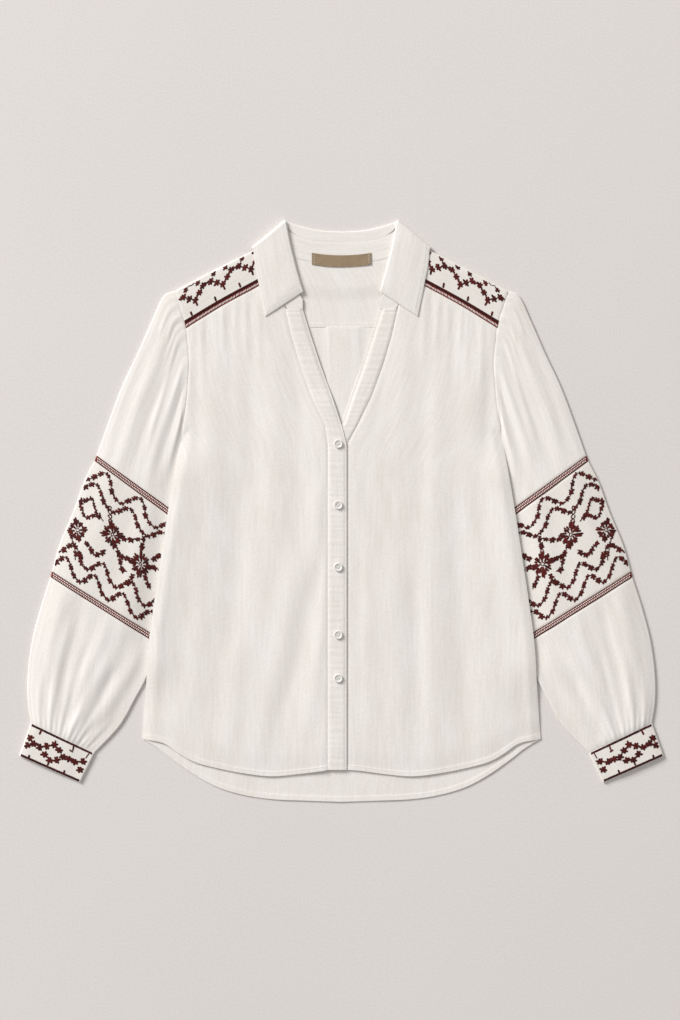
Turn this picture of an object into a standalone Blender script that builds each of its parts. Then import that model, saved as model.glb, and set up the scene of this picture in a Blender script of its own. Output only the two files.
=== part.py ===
"""Embroidered button-front blouse with puffed sleeves, laid flat on its back.

Millimetres in the tables, metres in the meshes. +X is to the viewer's right, which is the wearer's left,
+Y runs from hem to collar and +Z up from the surface. Every table is for the wearer's left half, x > 0,
and side = -1 mirrors it. Each piece is a middle surface on a grid, given its wall by moving it both ways
along its normals.
"""

import bmesh
import bpy
import numpy as np

MM = 0.001

# Walls and layers
CLOTH = 1.1
CLEAR = 0.3
LAYER = CLOTH + CLEAR
FLOOR = CLOTH / 2
SEAM = 0.25
CUFF_CLOTH = 1.5
TRIM_PROUD = 0.5

# Heights of middle surfaces
EDGE_LEVEL = FLOOR + LAYER
FRONT_LEVEL = 3.6
LEAF_LEVEL = 5.6
SLEEVE_EDGE_LEVEL = 2.3
SLEEVE_LEVEL = 3.4
SLEEVE_LIFT = 3.8
SLEEVE_CLEAR = 0.8

# Main sizes
YOKE_SEAM_Y = 239.0
PLACKET_WIDTH = 24.0
PLACKET_OVERLAP_X = 6.5
FRONT_HEM_Y = -336.0
BUTTON_RADIUS = 5.5
BUTTON_HEIGHT = 2.2
BUTTON_RIM = 1.3
BUTTON_RECESS = 0.7
BUTTON_X = -4.2
BUTTON_Y = (87.1, 7.8, -72.8, -160.7, -217.1)
LABEL_SIZE = (77.0, 15.0)
LABEL_Y = 324.5
LABEL_WALL = 1.0
PLEAT_X = 3.0
PLEAT_HALF_WIDTH = 23.5
PLEAT_RISE = 0.9
PLEAT_LENGTH = 420.0

# Outlines: x, y
ARMHOLE = [(216.0, 286.0), (204.3, 247.2), (200.2, 225.0), (198.0, 196.0), (199.4, 165.0), (203.2, 130.0),
           (207.0, 104.0)]
SIDE = [(207.0, 104.0), (222.0, 18.2), (232.3, -46.8), (248.6, -158.0), (253.5, -223.0), (258.5, -296.0)]
FRONT_HEM = [(0.0, -336.0), (25.0, -337.5), (55.0, -341.5), (92.0, -344.5), (132.0, -339.8), (165.0, -333.2),
             (192.0, -325.5), (211.0, -315.0), (231.0, -301.8), (258.5, -296.0)]
BACK_HEM = [(0.0, -378.0), (50.0, -376.3), (90.0, -374.5), (125.0, -369.5), (160.0, -359.3), (190.0, -343.5),
            (218.0, -324.0), (238.0, -308.5), (258.5, -296.0)]
TRIM_TOP = [(81.6, 316.6), (109.0, 301.4), (157.0, 275.4), (204.3, 247.2)]
TRIM_BOTTOM = [(80.6, 307.4), (108.0, 292.4), (156.0, 266.2), (202.2, 237.6)]
BACK_SHOULDER_SEAM = [(76.6, 338.4), (100.0, 318.0), (150.0, 283.0), (204.3, 249.0)]
SHOULDER_FOLD = [(88.8, 350.6), (116.0, 337.6), (166.0, 312.6), (216.0, 286.0)]
BACK_NECK = [(0.0, 322.6), (38.0, 323.0), (66.0, 329.8), (76.6, 338.4)]

# Neck seam of the front, then the seam of the V band; both fronts share it down to the V
FRONT_NECK = [(80.6, 307.4), (77.2, 284.0)]
V_SEAM = [(72.6, 262.8), (64.6, 227.0), (53.6, 190.0), (39.0, 150.0)]
V_EDGE = [(50.5, 262.0), (39.7, 227.0), (27.5, 190.0), (12.9, 150.0)]
PLACKET_ROWS_Y = (112.0, 86.0, 40.0, -30.0, -110.0, -190.0, -265.0, FRONT_HEM_Y)
BAND_TURN = 22.0

# Soft gathers that hang from the yoke trim and the long folds below: x and y at each end, height, half width
FRONT_FOLDS = [
    (98.0, 292.0, 96.0, 205.0, 0.55, 4.0),
    (112.0, 284.0, 110.0, 190.0, 0.60, 4.5),
    (127.0, 276.0, 124.0, 170.0, 0.90, 4.5),
    (142.0, 268.0, 139.0, 150.0, 0.85, 5.0),
    (157.0, 260.0, 155.0, 165.0, 1.00, 4.5),
    (171.0, 252.0, 170.0, 150.0, 0.85, 4.5),
    (185.0, 245.0, 184.0, 175.0, 0.80, 4.0),
    (118.0, 120.0, 132.0, -330.0, 0.90, 15.0),
    (176.0, 90.0, 196.0, -300.0, 1.00, 14.0),
    (66.0, 60.0, 74.0, -320.0, 0.70, 16.0),
]

# Sleeve outline: x, y along the outer edge and along the inner edge, span by span
SLEEVE_OUTER = {
    "upper": [(216.0, 286.0), (231.0, 279.0), (245.7, 248.3), (264.0, 206.7), (283.6, 165.1), (299.7, 123.5),
              (318.0, 72.0)],
    "trim_top": [(318.0, 72.0), (320.8, 65.2)],
    "panel": [(320.8, 65.2), (335.0, 37.0), (348.7, -1.3), (366.0, -42.9), (376.0, -78.4)],
    "trim_bottom": [(376.0, -78.4), (378.0, -85.6)],
    "lower": [(378.0, -85.6), (391.0, -126.1), (401.7, -167.7), (407.4, -209.3), (407.8, -245.0), (403.4, -275.6)],
    "cuff": [(403.4, -275.6), (418.4, -317.8)],
}
SLEEVE_INNER = {
    "upper": [(207.0, 104.0), (212.6, 78.0), (216.9, 52.0), (219.7, 28.0), (220.7, 1.2)],
    "trim_top": [(220.7, 1.2), (222.0, -7.7)],
    "panel": [(222.0, -7.7), (228.0, -47.0), (244.2, -160.6)],
    "trim_bottom": [(244.2, -160.6), (245.0, -169.2)],
    "lower": [(245.0, -169.2), (248.8, -200.0), (255.0, -220.0), (267.0, -242.0), (288.0, -279.0), (321.4, -314.7)],
    "cuff": [(321.4, -314.7), (339.8, -352.3)],
}
# Rings along each span, points across the front of a ring, puff of the sleeve's front at its two ends
SLEEVE_SPANS = [
    ("upper", 8, 12, 0.0, 0.8),
    ("trim_top", 2, 12, 0.8, 0.9),
    ("panel", 5, 12, 0.9, 1.2),
    ("trim_bottom", 2, 12, 1.2, 1.2),
    ("lower", 8, 34, 1.2, 0.5),
    ("cuff", 3, 12, 0.0, 0.0),
]
BACK_RING_POINTS = 7
TURN_POINTS = 2
CUFF_GATHERS = 9
GATHER_HEIGHT = 0.85
GATHER_LENGTH = 110.0

# Collar stand from centre back to front end: x and y on the neck seam, x and y on the fall seam, height
STAND_ROWS = [
    (0.0, 323.1, 0.0, 351.3, EDGE_LEVEL),
    (20.0, 323.2, 18.0, 351.8, EDGE_LEVEL),
    (38.0, 323.6, 36.0, 353.4, EDGE_LEVEL),
    (66.0, 330.7, 58.0, 358.4, EDGE_LEVEL),
    (77.0, 339.4, 68.0, 362.0, EDGE_LEVEL),
    (85.6, 347.5, 74.9, 363.7, EDGE_LEVEL),
    (86.9, 348.4, 76.2, 364.6, (EDGE_LEVEL + FRONT_LEVEL) / 2),
    (85.6, 347.3, 75.1, 363.3, FRONT_LEVEL),
    (84.2, 336.0, 71.6, 353.0, FRONT_LEVEL),
    (80.4, 314.0, 66.0, 326.0, FRONT_LEVEL),
    (75.6, 285.0, 59.4, 300.0, FRONT_LEVEL),
    (66.0, 264.2, 54.0, 281.0, FRONT_LEVEL),
    (50.6, 263.4, 50.6, 275.0, FRONT_LEVEL),
]

# Collar fall from centre back to front point: x and y of its seam, of the roll and of the free edge
FALL_BACK_ROWS = [
    (0.0, 351.8, 0.0, 362.8, 0.0, 307.0),
    (18.0, 352.3, 17.5, 363.4, 20.0, 308.0),
    (36.0, 353.9, 36.0, 365.6, 42.0, 311.5),
    (58.0, 358.9, 58.0, 371.2, 74.0, 321.0),
]
FALL_FRONT_ROWS = [
    (70.6, 352.0, 66.9, 350.0, 112.6, 321.0),
    (65.0, 326.0, 61.3, 326.0, 107.8, 296.0),
    (58.4, 300.0, 54.6, 301.0, 103.0, 272.0),
    (53.6, 284.6, 49.8, 284.4, 99.0, 252.7),
]
FALL_FOLD_TOP = (73.6, 378.45)
FALL_FOLD_BOTTOM = (116.4, 342.5)
FALL_TURN_ANGLES = (-90, -45, 0, 45, 90)
FALL_ROLL_DROP = 1.6
FALL_SEAM_DROP = 2.6


def ease(t):
    """Smooth step from 0 to 1."""
    t = np.clip(t, 0.0, 1.0)
    return t * t * (3 - 2 * t)


def along(rows, count):
    """Points evenly spaced along a Catmull-Rom curve through the rows."""
    rows = np.asarray(rows, float)
    ends = np.vstack([2 * rows[0] - rows[1], rows, 2 * rows[-1] - rows[-2]])
    t = np.linspace(0, 1, 17)[:-1, None]
    pieces = []
    for a, b, c, d in zip(ends, ends[1:], ends[2:], ends[3:]):
        square = 2 * a - 5 * b + 4 * c - d
        cube = 3 * b - a - 3 * c + d
        pieces.append((2 * b + (c - a) * t + square * t**2 + cube * t**3) / 2)
    fine = np.vstack(pieces + [rows[-1:]])
    place = np.concatenate([[0], np.cumsum(np.linalg.norm(np.diff(fine, axis=0), axis=1))])
    wanted = np.linspace(0, place[-1], count)
    return np.stack([np.interp(wanted, place, fine[:, k]) for k in range(rows.shape[1])], axis=1)


def shares(*lines):
    """Mean share of length reached at each point of the lines."""
    found = []
    for line in lines:
        place = np.concatenate([[0], np.cumsum(np.linalg.norm(np.diff(line, axis=0), axis=1))])
        found.append(place / place[-1])
    return np.mean(found, axis=0)


def patch(first_row, last_row, first_column, last_column):
    """Coons patch: rows run from first_row to last_row, columns from first_column to last_column."""
    u = shares(first_row, last_row)[None, :, None]
    v = shares(first_column, last_column)[:, None, None]
    rows = (1 - v) * first_row[None] + v * last_row[None]
    columns = (1 - u) * first_column[:, None] + u * last_column[:, None]
    low = (1 - u) * first_row[0] + u * first_row[-1]
    high = (1 - u) * last_row[0] + u * last_row[-1]
    return rows + columns - ((1 - v) * low + v * high)


def pulled_in(grid, gap=SEAM):
    """The grid with its four edges moved inwards by the gap that a seam keeps."""
    grid = grid.copy()
    for view in (grid, grid[::-1], grid.swapaxes(0, 1), grid.swapaxes(0, 1)[::-1]):
        step = view[1] - view[0]
        view[0] += gap * step / np.linalg.norm(step, axis=-1, keepdims=True)
    return grid


def side_x(y):
    """Half width of the body at height y."""
    table = np.array(SIDE)[::-1]
    return np.interp(y, table[:, 1], table[:, 0])


def sleeve_lift(x, y):
    """How far the body's edge is lifted where it lies over the sleeve."""
    inside = side_x(y) - np.abs(x)
    return SLEEVE_LIFT * ease((18 - inside) / 12) * ease((102 - y) / 20) * ease((y + 262) / 30)


def back_level(x, y):
    """Middle of the back: on the floor, and one layer up where it lies over the collar fall."""
    fall_edge = 306 + 0.0026 * x**2
    return FLOOR + LAYER * ease((y - fall_edge + 36) / 22) + sleeve_lift(x, y)


def fold_height(x, y):
    """Ridges of the gathers and long folds, each highest near its start."""
    height = np.zeros_like(x)
    for x0, y0, x1, y1, rise, half in FRONT_FOLDS:
        share = np.clip((y0 - y) / (y0 - y1), -0.3, 1.2)
        across = x - (x0 + (x1 - x0) * share)
        height += rise * np.exp(-((across / half) ** 2)) * ease((1.1 - share) / 0.9) * ease((share + 0.12) / 0.2)
    return height * ease((x - 34) / 26)


def front_level(x, y, side):
    """Middle of a front: down on the back at the side seam, up in the middle, one more layer at the top placket."""
    inside = side_x(y) - np.abs(x)
    rise = np.maximum(ease(inside / 14), ease((y - 92) / 20))
    level = EDGE_LEVEL + (FRONT_LEVEL - EDGE_LEVEL) * rise + sleeve_lift(x, y)
    if side < 0:
        level = level + LAYER * ease((60 - np.abs(x)) / 40) * ease((165 - y) / 30)
    return level + fold_height(x, y) * ease(inside / 20)


def raised(plan, level):
    return np.concatenate([plan, level[..., None]], axis=-1)


def directions(grid, closed):
    """Unit normals of a grid whose second index may run round a ring."""
    down = np.gradient(grid, axis=0)
    if closed:
        across = np.roll(grid, -1, axis=1) - np.roll(grid, 1, axis=1)
    else:
        across = np.gradient(grid, axis=1)
    normal = np.cross(down, across)
    return normal / np.linalg.norm(normal, axis=-1, keepdims=True)


def wall(name, middle, material, thickness=CLOTH, side=1, closed=False, proud=0.0):
    """Closed wall round a middle surface in millimetres; proud moves its outer face out further."""
    normal = directions(middle, closed)
    outer = middle + normal * (thickness / 2 + np.asarray(proud))[..., None]
    inner = middle - normal * thickness / 2
    rows, columns = middle.shape[:2]
    points = np.concatenate([outer.reshape(-1, 3), inner.reshape(-1, 3)]) * MM
    points[:, 0] *= side
    index = np.arange(rows * columns).reshape(rows, columns)
    if closed:
        index = np.concatenate([index, index[:, :1]], axis=1)
    under = index + rows * columns
    faces = []
    for grid, flip in ((index, False), (under, True)):
        quads = np.stack([grid[:-1, :-1], grid[1:, :-1], grid[1:, 1:], grid[:-1, 1:]], axis=-1).reshape(-1, 4)
        faces.append(quads[:, ::-1] if flip else quads)
    rims = [(index[0], under[0]), (index[-1][::-1], under[-1][::-1])]
    if not closed:
        rims += [(index[:, 0][::-1], under[:, 0][::-1]), (index[:, -1], under[:, -1])]
    for top, bottom in rims:
        faces.append(np.stack([top[:-1], top[1:], bottom[1:], bottom[:-1]], axis=-1))
    mesh = bpy.data.meshes.new(name)
    mesh.from_pydata(points.tolist(), [], np.concatenate(faces).tolist())
    return placed(name, mesh, material)


def placed(name, mesh, material):
    """Object of a closed mesh, with its faces turned outwards and smooth where they nearly meet."""
    work = bmesh.new()
    work.from_mesh(mesh)
    bmesh.ops.recalc_face_normals(work, faces=work.faces)
    work.to_mesh(mesh)
    work.free()
    mesh.shade_smooth()
    mesh.set_sharp_from_angle(angle=0.9)
    mesh.materials.append(material)
    thing = bpy.data.objects.new(name, mesh)
    bpy.context.scene.collection.objects.link(thing)
    return thing


def finish(name, colour, roughness):
    material = bpy.data.materials.new(name)
    material.use_nodes = True
    shader = material.node_tree.nodes["Principled BSDF"]
    shader.inputs["Base Color"].default_value = (*colour, 1.0)
    shader.inputs["Roughness"].default_value = roughness
    shader.inputs["Metallic"].default_value = 0.0
    return material


def worn_side(side):
    return "left" if side > 0 else "right"


def band_lines(side):
    """Seam and free edge of a front band, in the mirrored x of its side, on the rows that the front shares."""
    seam_x = PLACKET_OVERLAP_X if side > 0 else PLACKET_WIDTH - PLACKET_OVERLAP_X
    edge_x = seam_x - PLACKET_WIDTH
    seam = list(V_SEAM)
    edge = list(V_EDGE)
    for y in PLACKET_ROWS_Y:
        open_v = ease((y - 86) / BAND_TURN)
        slant = 0.37 * max(y - 86, 0)
        seam.append((seam_x + (13.5 if side > 0 else 3.0) * open_v + 0.05 * slant, y))
        edge.append((edge_x + (17.0 if side > 0 else 6.2) * open_v + 0.05 * slant, y))
    return np.array(seam), np.array(edge)


def build_back(cloth):
    hem = along(BACK_HEM, 9)
    hem = np.vstack([hem[::-1] * (-1, 1), hem[1:]])
    top = np.stack([np.linspace(-201.8, 201.8, 17), np.full(17, YOKE_SEAM_Y)], axis=1)
    armhole = along([(201.8, YOKE_SEAM_Y)] + ARMHOLE[2:], 6)
    right = np.vstack([armhole, along(SIDE, 9)[1:]])
    plan = pulled_in(patch(top, hem, right * (-1, 1), right))
    columns = np.sort(np.append(np.arange(17), [7.45, 7.55, 9.05, 9.15]))
    plan = np.stack([[np.interp(columns, np.arange(17), row[:, k]) for k in (0, 1)] for row in plan])
    plan = plan.swapaxes(1, 2)
    x, y = plan[..., 0], plan[..., 1]
    strip = ease((PLEAT_HALF_WIDTH - np.abs(x - PLEAT_X)) / 3.0) * ease((y - YOKE_SEAM_Y + PLEAT_LENGTH) / 200)
    wall("back", raised(plan, back_level(x, y)), cloth, proud=PLEAT_RISE * strip)


def build_back_yoke(cloth):
    half = np.vstack([along(BACK_NECK, 6), along(BACK_SHOULDER_SEAM, 7)[1:]])
    top = np.vstack([half[::-1] * (-1, 1), half[1:]])
    bottom = np.stack([np.linspace(-201.8, 201.8, len(top)), np.full(len(top), YOKE_SEAM_Y)], axis=1)
    right = np.linspace(half[-1], (201.8, YOKE_SEAM_Y), 7)
    plan = pulled_in(patch(top, bottom, right * (-1, 1), right))
    wall("back_yoke", raised(plan, back_level(plan[..., 0], plan[..., 1])), cloth)


def turned_section(start, fold, end, start_level, end_level, flat_points, turn_points):
    """One line of a sheet folded back on itself: in at start_level, round the fold, back out at end_level."""
    radius = (start_level - end_level) / 2
    centre_level = (start_level + end_level) / 2
    into = (np.subtract(start, fold) + np.subtract(end, fold)) / 2
    into = into / np.linalg.norm(into)
    turn = np.asarray(fold) + into * (abs(radius) + CLOTH / 2)
    points = [(*p, start_level) for p in np.linspace(start, turn, flat_points)]
    for angle in np.linspace(np.pi / 2, -np.pi / 2, turn_points + 2)[1:-1]:
        place = turn - into * abs(radius) * np.cos(angle)
        points.append((*place, centre_level + radius * np.sin(angle)))
    points += [(*p, end_level) for p in np.linspace(turn, end, flat_points)]
    return points


def build_shoulder(side, cloth):
    count = 9
    lines = [along(table, count) for table in (TRIM_TOP, SHOULDER_FOLD, BACK_SHOULDER_SEAM)]
    sections = []
    for front, fold, back in zip(*lines):
        low = float(back_level(np.array((back[0] + fold[0]) / 2), np.array((back[1] + fold[1]) / 2)))
        sections.append(turned_section(front, fold, back, FRONT_LEVEL, low, 4, 3))
    name = "shoulder_" + worn_side(side)
    wall(name, pulled_in(np.array(sections)), cloth, side=side)


def build_shoulder_trim(side, tape):
    top = along(TRIM_TOP, 13)
    bottom = along(TRIM_BOTTOM, 13)
    plan = patch(top, bottom, np.linspace(top[0], bottom[0], 3), np.linspace(top[-1], bottom[-1], 3))
    plan = pulled_in(plan)
    proud = np.full(plan.shape[:2], TRIM_PROUD)
    level = np.full(plan.shape[:2], FRONT_LEVEL)
    wall("trim_shoulder_" + worn_side(side), raised(plan, level)[::-1], tape, side=side, proud=proud)


def build_front(side, cloth):
    seam, _ = band_lines(side)
    inner = np.vstack([FRONT_NECK, seam])
    top = along(TRIM_BOTTOM, 29)
    hem = along([(seam[-1][0], FRONT_HEM_Y)] + FRONT_HEM[1:], 29)
    armhole = along([TRIM_BOTTOM[-1]] + ARMHOLE[2:], 7)
    outer = np.vstack([armhole, along(SIDE, len(inner) - 6)[1:]])
    plan = pulled_in(patch(top, hem, inner, outer))
    level = front_level(plan[..., 0], plan[..., 1], side)
    wall("front_" + worn_side(side), raised(plan, level), cloth, side=side)


def build_band(side, cloth):
    seam, edge = band_lines(side)
    plan = pulled_in(np.stack([edge, (edge + seam) / 2, seam], axis=1))
    level = front_level(plan[..., 0], plan[..., 1], side)
    wall("band_" + worn_side(side), raised(plan, level), cloth, side=side)


def mirrored_rows(half):
    """Both halves of a table of points from the centre out, as one run from right to left."""
    half = np.asarray(half, float)
    return np.concatenate([half[::-1] * (-1, 1, 1), half[1:]])


def build_stand(cloth):
    grid = []
    for low_x, low_y, high_x, high_y, level in STAND_ROWS:
        grid.append(np.linspace((low_x, low_y, level), (high_x, high_y, level), 4))
    wall("collar_stand", pulled_in(mirrored_rows(grid), 0.35), cloth)


def fall_section(seam, inner_roll, outer_roll, free):
    """Cross-section of the fall: up from its seam, over the roll and down to the free edge."""
    seam, inner_roll, outer_roll, free = (np.asarray(p, float) for p in (seam, inner_roll, outer_roll, free))
    radius = (outer_roll - inner_roll) / 2
    up = outer_roll - free
    up = up / np.linalg.norm(up) * np.linalg.norm(radius)
    middle = (outer_roll + inner_roll) / 2
    points = list(np.linspace(seam, inner_roll, 2))
    for angle in (-np.pi / 4, 0, np.pi / 4):
        points.append(middle + radius * np.sin(angle) + up * np.cos(angle))
    return points + list(np.linspace(outer_roll, free, 5))


def build_fall(cloth):
    half = []
    for seam_x, seam_y, roll_x, roll_y, free_x, free_y in FALL_BACK_ROWS:
        half.append(fall_section((seam_x, seam_y, EDGE_LEVEL), (roll_x, roll_y - 1, EDGE_LEVEL),
                                 (roll_x, roll_y - 1, FLOOR), (free_x, free_y, FLOOR)))
    top, bottom = np.array(FALL_FOLD_TOP), np.array(FALL_FOLD_BOTTOM)
    edge = (bottom - top) / np.linalg.norm(bottom - top)
    inwards = np.array((edge[1], -edge[0]))
    outer_radius = (LEAF_LEVEL - FLOOR) / 2
    inner_radius = (FRONT_LEVEL - EDGE_LEVEL) / 2
    for degrees in FALL_TURN_ANGLES:
        sine, cosine = np.sin(np.radians(degrees)), np.cos(np.radians(degrees))
        outer_in = CLOTH / 2 + outer_radius * (1 - cosine)
        inner_in = CLOTH / 2 + outer_radius - inner_radius * cosine
        outer_z = FLOOR + outer_radius * (1 + sine)
        inner_z = EDGE_LEVEL + inner_radius * (1 + sine)
        start = top + edge * FALL_ROLL_DROP
        half.append(fall_section((*(start + inwards * inner_in + edge * FALL_SEAM_DROP), inner_z),
                                 (*(start + inwards * inner_in), inner_z),
                                 (*(start + inwards * outer_in), outer_z),
                                 (*(bottom + inwards * outer_in), outer_z)))
    for seam_x, seam_y, roll_x, roll_y, free_x, free_y in FALL_FRONT_ROWS:
        half.append(fall_section((seam_x, seam_y, FRONT_LEVEL), (roll_x + 1.2, roll_y, FRONT_LEVEL),
                                 (roll_x + 1.2, roll_y, LEAF_LEVEL), (free_x, free_y, LEAF_LEVEL)))
    wall("collar_fall", mirrored_rows(half), cloth)


def sleeve_plan(span, rings, across):
    """Plan of a sleeve span: rows are its rings, columns run from the outer edge to the inner edge."""
    outer = along(SLEEVE_OUTER[span], rings)
    inner = along(SLEEVE_INNER[span], rings)
    first = np.linspace(outer[0], inner[0], across)
    if span == "upper":
        first = along(ARMHOLE, across) + (SLEEVE_CLEAR, 0)
        outer[0], inner[0] = first[0], first[-1]
    last = np.linspace(outer[-1], inner[-1], across)
    return patch(first, last, outer, inner)


def build_sleeve_span(side, span, rings, across, puff_start, puff_end, material):
    """Flattened tube: front layer from outer to inner edge, a tight turn, and the back layer on the floor."""
    plan = sleeve_plan(span, rings, 41)
    share = np.linspace(0, 1, rings)
    puff = puff_start + (puff_end - puff_start) * share
    length = np.linalg.norm(plan[-1, 20] - plan[0, 20])
    sections = []
    for row, line in enumerate(plan):
        width = np.linalg.norm(line[-1] - line[0])
        radius = (SLEEVE_EDGE_LEVEL - FLOOR) / 2
        margin = radius + CLOTH / 2
        places = np.linspace(margin, width - margin, across)
        low_places = np.linspace(width - margin, margin, BACK_RING_POINTS)
        end_rise = ease((width - places - 8) / 26) * ease((places + 3) / 14)
        level = SLEEVE_EDGE_LEVEL + (SLEEVE_LEVEL - SLEEVE_EDGE_LEVEL) * end_rise
        level = level + puff[row] * ease((width - places - 10) / 40) * ease(places / 30)
        if span == "lower":
            near = ease(1 - (1 - share[row]) * length / GATHER_LENGTH)
            waves = np.cos(2 * np.pi * CUFF_GATHERS * (places / width - 0.5))
            level = level + GATHER_HEIGHT * near * waves * ease(places / 12) * ease((width - places) / 18)
        section = [(p, z) for p, z in zip(places, level)]
        for angle in np.linspace(np.pi / 2, -np.pi / 2, TURN_POINTS + 2)[1:-1]:
            section.append((width - margin + radius * np.cos(angle), FLOOR + radius * (1 + np.sin(angle))))
        section += [(p, FLOOR) for p in low_places]
        for angle in np.linspace(-np.pi / 2, np.pi / 2, TURN_POINTS + 2)[1:-1]:
            section.append((margin - radius * np.cos(angle), FLOOR + radius * (1 + np.sin(angle))))
        section = np.array(section)
        cells = section[:, 0] / width * 40
        ring = [np.interp(cells, np.arange(41), line[:, k]) for k in (0, 1)]
        sections.append(np.stack([*ring, section[:, 1]], axis=1))
    middle = np.array(sections)
    for view in (middle, middle[::-1]):
        step = view[1] - view[0]
        view[0] += SEAM * step / np.linalg.norm(step, axis=-1, keepdims=True)
    proud = np.zeros(middle.shape[:2])
    if span.startswith("trim"):
        proud[:, 2:across - 2] = TRIM_PROUD
    name = {"trim_top": "trim_sleeve_top_", "trim_bottom": "trim_sleeve_bottom_", "cuff": "cuff_"}
    name = name.get(span, "sleeve_" + span + "_") + worn_side(side)
    thickness = CUFF_CLOTH if span == "cuff" else CLOTH
    if span == "cuff":
        middle[..., 2] += (CUFF_CLOTH - CLOTH) / 2
    wall(name, middle[:, ::-1], material, thickness=thickness, side=side, closed=True, proud=proud[:, ::-1])


def build_button(number, y, shell):
    """Turned disc with a raised rim round a shallow dish."""
    outline = [(0.0, 0.0), (BUTTON_RADIUS - 0.6, 0.0), (BUTTON_RADIUS, 0.7), (BUTTON_RADIUS - 0.3, BUTTON_HEIGHT),
               (BUTTON_RADIUS - BUTTON_RIM, BUTTON_HEIGHT), (0.0, BUTTON_HEIGHT - BUTTON_RECESS)]
    level = float(front_level(np.array(-BUTTON_X), np.array(y), -1)) + CLOTH / 2 + CLEAR
    work = bmesh.new()
    path = [work.verts.new((r * MM, 0, z * MM)) for r, z in outline]
    edges = [work.edges.new(pair) for pair in zip(path, path[1:])]
    bmesh.ops.spin(work, geom=path + edges, cent=(0, 0, 0), axis=(0, 0, 1), angle=2 * np.pi, steps=18, use_merge=True)
    bmesh.ops.remove_doubles(work, verts=work.verts, dist=1e-6)
    bmesh.ops.translate(work, verts=work.verts, vec=(BUTTON_X * MM, y * MM, level * MM))
    mesh = bpy.data.meshes.new(f"button_{number}")
    work.to_mesh(mesh)
    work.free()
    placed(f"button_{number}", mesh, shell)


def build_label(board):
    """Bare strip sewn over the back neck seam, bowed like the seam."""
    width, height = LABEL_SIZE
    x = np.linspace(-width / 2, width / 2, 9)[None, :].repeat(3, axis=0)
    y = LABEL_Y + np.linspace(height / 2, -height / 2, 3)[:, None] + 0.0022 * x**2
    level = back_level(x, y) + CLOTH / 2 + CLEAR + LABEL_WALL / 2
    level = np.maximum(level, EDGE_LEVEL + CLOTH / 2 + CLEAR + LABEL_WALL / 2)
    wall("neck_label", np.stack([x, y, level], axis=-1), board, thickness=LABEL_WALL)


def main():
    for thing in list(bpy.data.objects):
        bpy.data.objects.remove(thing)
    cloth = finish("ivory_cotton", (0.84, 0.80, 0.75), 0.9)
    embroidered = finish("embroidered_cotton", (0.62, 0.45, 0.40), 0.9)
    tape = finish("red_cream_tape", (0.40, 0.12, 0.10), 0.85)
    shell = finish("button_shell", (0.86, 0.83, 0.78), 0.35)
    board = finish("kraft_label", (0.36, 0.26, 0.16), 0.8)
    build_back(cloth)
    build_back_yoke(cloth)
    build_stand(cloth)
    build_fall(cloth)
    build_label(board)
    for side in (1, -1):
        build_shoulder(side, embroidered)
        build_shoulder_trim(side, tape)
        build_front(side, cloth)
        build_band(side, cloth)
        for span, rings, across, puff_start, puff_end in SLEEVE_SPANS:
            worked = {"panel": embroidered, "cuff": embroidered, "trim_top": tape, "trim_bottom": tape}
            build_sleeve_span(side, span, rings, across, puff_start, puff_end, worked.get(span, cloth))
    for number, y in enumerate(BUTTON_Y, 1):
        build_button(number, y, shell)


main()
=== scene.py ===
"""Looks of an embroidered blouse laid flat on a pale table.

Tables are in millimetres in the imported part's frame and hold the wearer's left half, x > 0; side = -1
mirrors them. Each piece of cloth is a thin closed shell round a middle surface worked out on a grid, and
each stitch is a small raised thread laid on such a surface.
"""

import bmesh
import bpy
import numpy as np
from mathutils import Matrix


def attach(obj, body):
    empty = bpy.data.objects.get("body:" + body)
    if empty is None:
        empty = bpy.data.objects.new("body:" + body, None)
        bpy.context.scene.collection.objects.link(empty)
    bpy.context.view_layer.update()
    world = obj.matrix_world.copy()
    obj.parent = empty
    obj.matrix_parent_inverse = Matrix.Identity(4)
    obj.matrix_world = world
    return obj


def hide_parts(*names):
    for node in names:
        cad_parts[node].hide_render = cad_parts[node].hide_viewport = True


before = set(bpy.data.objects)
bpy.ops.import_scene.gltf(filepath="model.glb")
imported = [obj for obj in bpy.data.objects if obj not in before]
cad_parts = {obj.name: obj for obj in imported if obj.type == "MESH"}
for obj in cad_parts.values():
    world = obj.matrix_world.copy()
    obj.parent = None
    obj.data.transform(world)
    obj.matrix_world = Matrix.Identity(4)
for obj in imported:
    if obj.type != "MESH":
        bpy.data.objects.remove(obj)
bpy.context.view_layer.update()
MM = 0.001

# Table, light and camera
# The blouse lies on a pale matt table. One large soft lamp stands up to the left, as beside a window, and
# the room fills the shadows. The camera looks straight down from about three metres.

TABLE_COLOUR = (0.748, 0.714, 0.693)
TABLE_HALF_WIDTH = 8.0
LAMP_PLACE = (-11.5, 10.7, 7.8)
LAMP_WIDTH = 6.0
LAMP_POWER = 3740.0
LAMP_COLOUR = (1.0, 0.988, 0.978)
ROOM_COLOUR = (1.0, 0.98, 0.962, 1.0)
ROOM_STRENGTH = 0.43
CAMERA_PLACE = (-0.002, 0.0013, 2.947)
CAMERA_LENS = 80.0


class Wire:
    """A shader socket in sums: each operator adds the Math node that it stands for."""

    def __init__(self, finish, socket):
        self.finish = finish
        self.socket = socket

    def math(self, operation, *values):
        return self.finish.node("ShaderNodeMath", {"operation": operation}, dict(enumerate(values)))

    def held(self):
        """The same value held between 0 and 1."""
        return self.math("MAXIMUM", self.math("MINIMUM", self, 1.0), 0.0)

    def __add__(self, other):
        return self.math("ADD", self, other)

    def __sub__(self, other):
        return self.math("SUBTRACT", self, other)

    def __mul__(self, other):
        return self.math("MULTIPLY", self, other)


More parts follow.
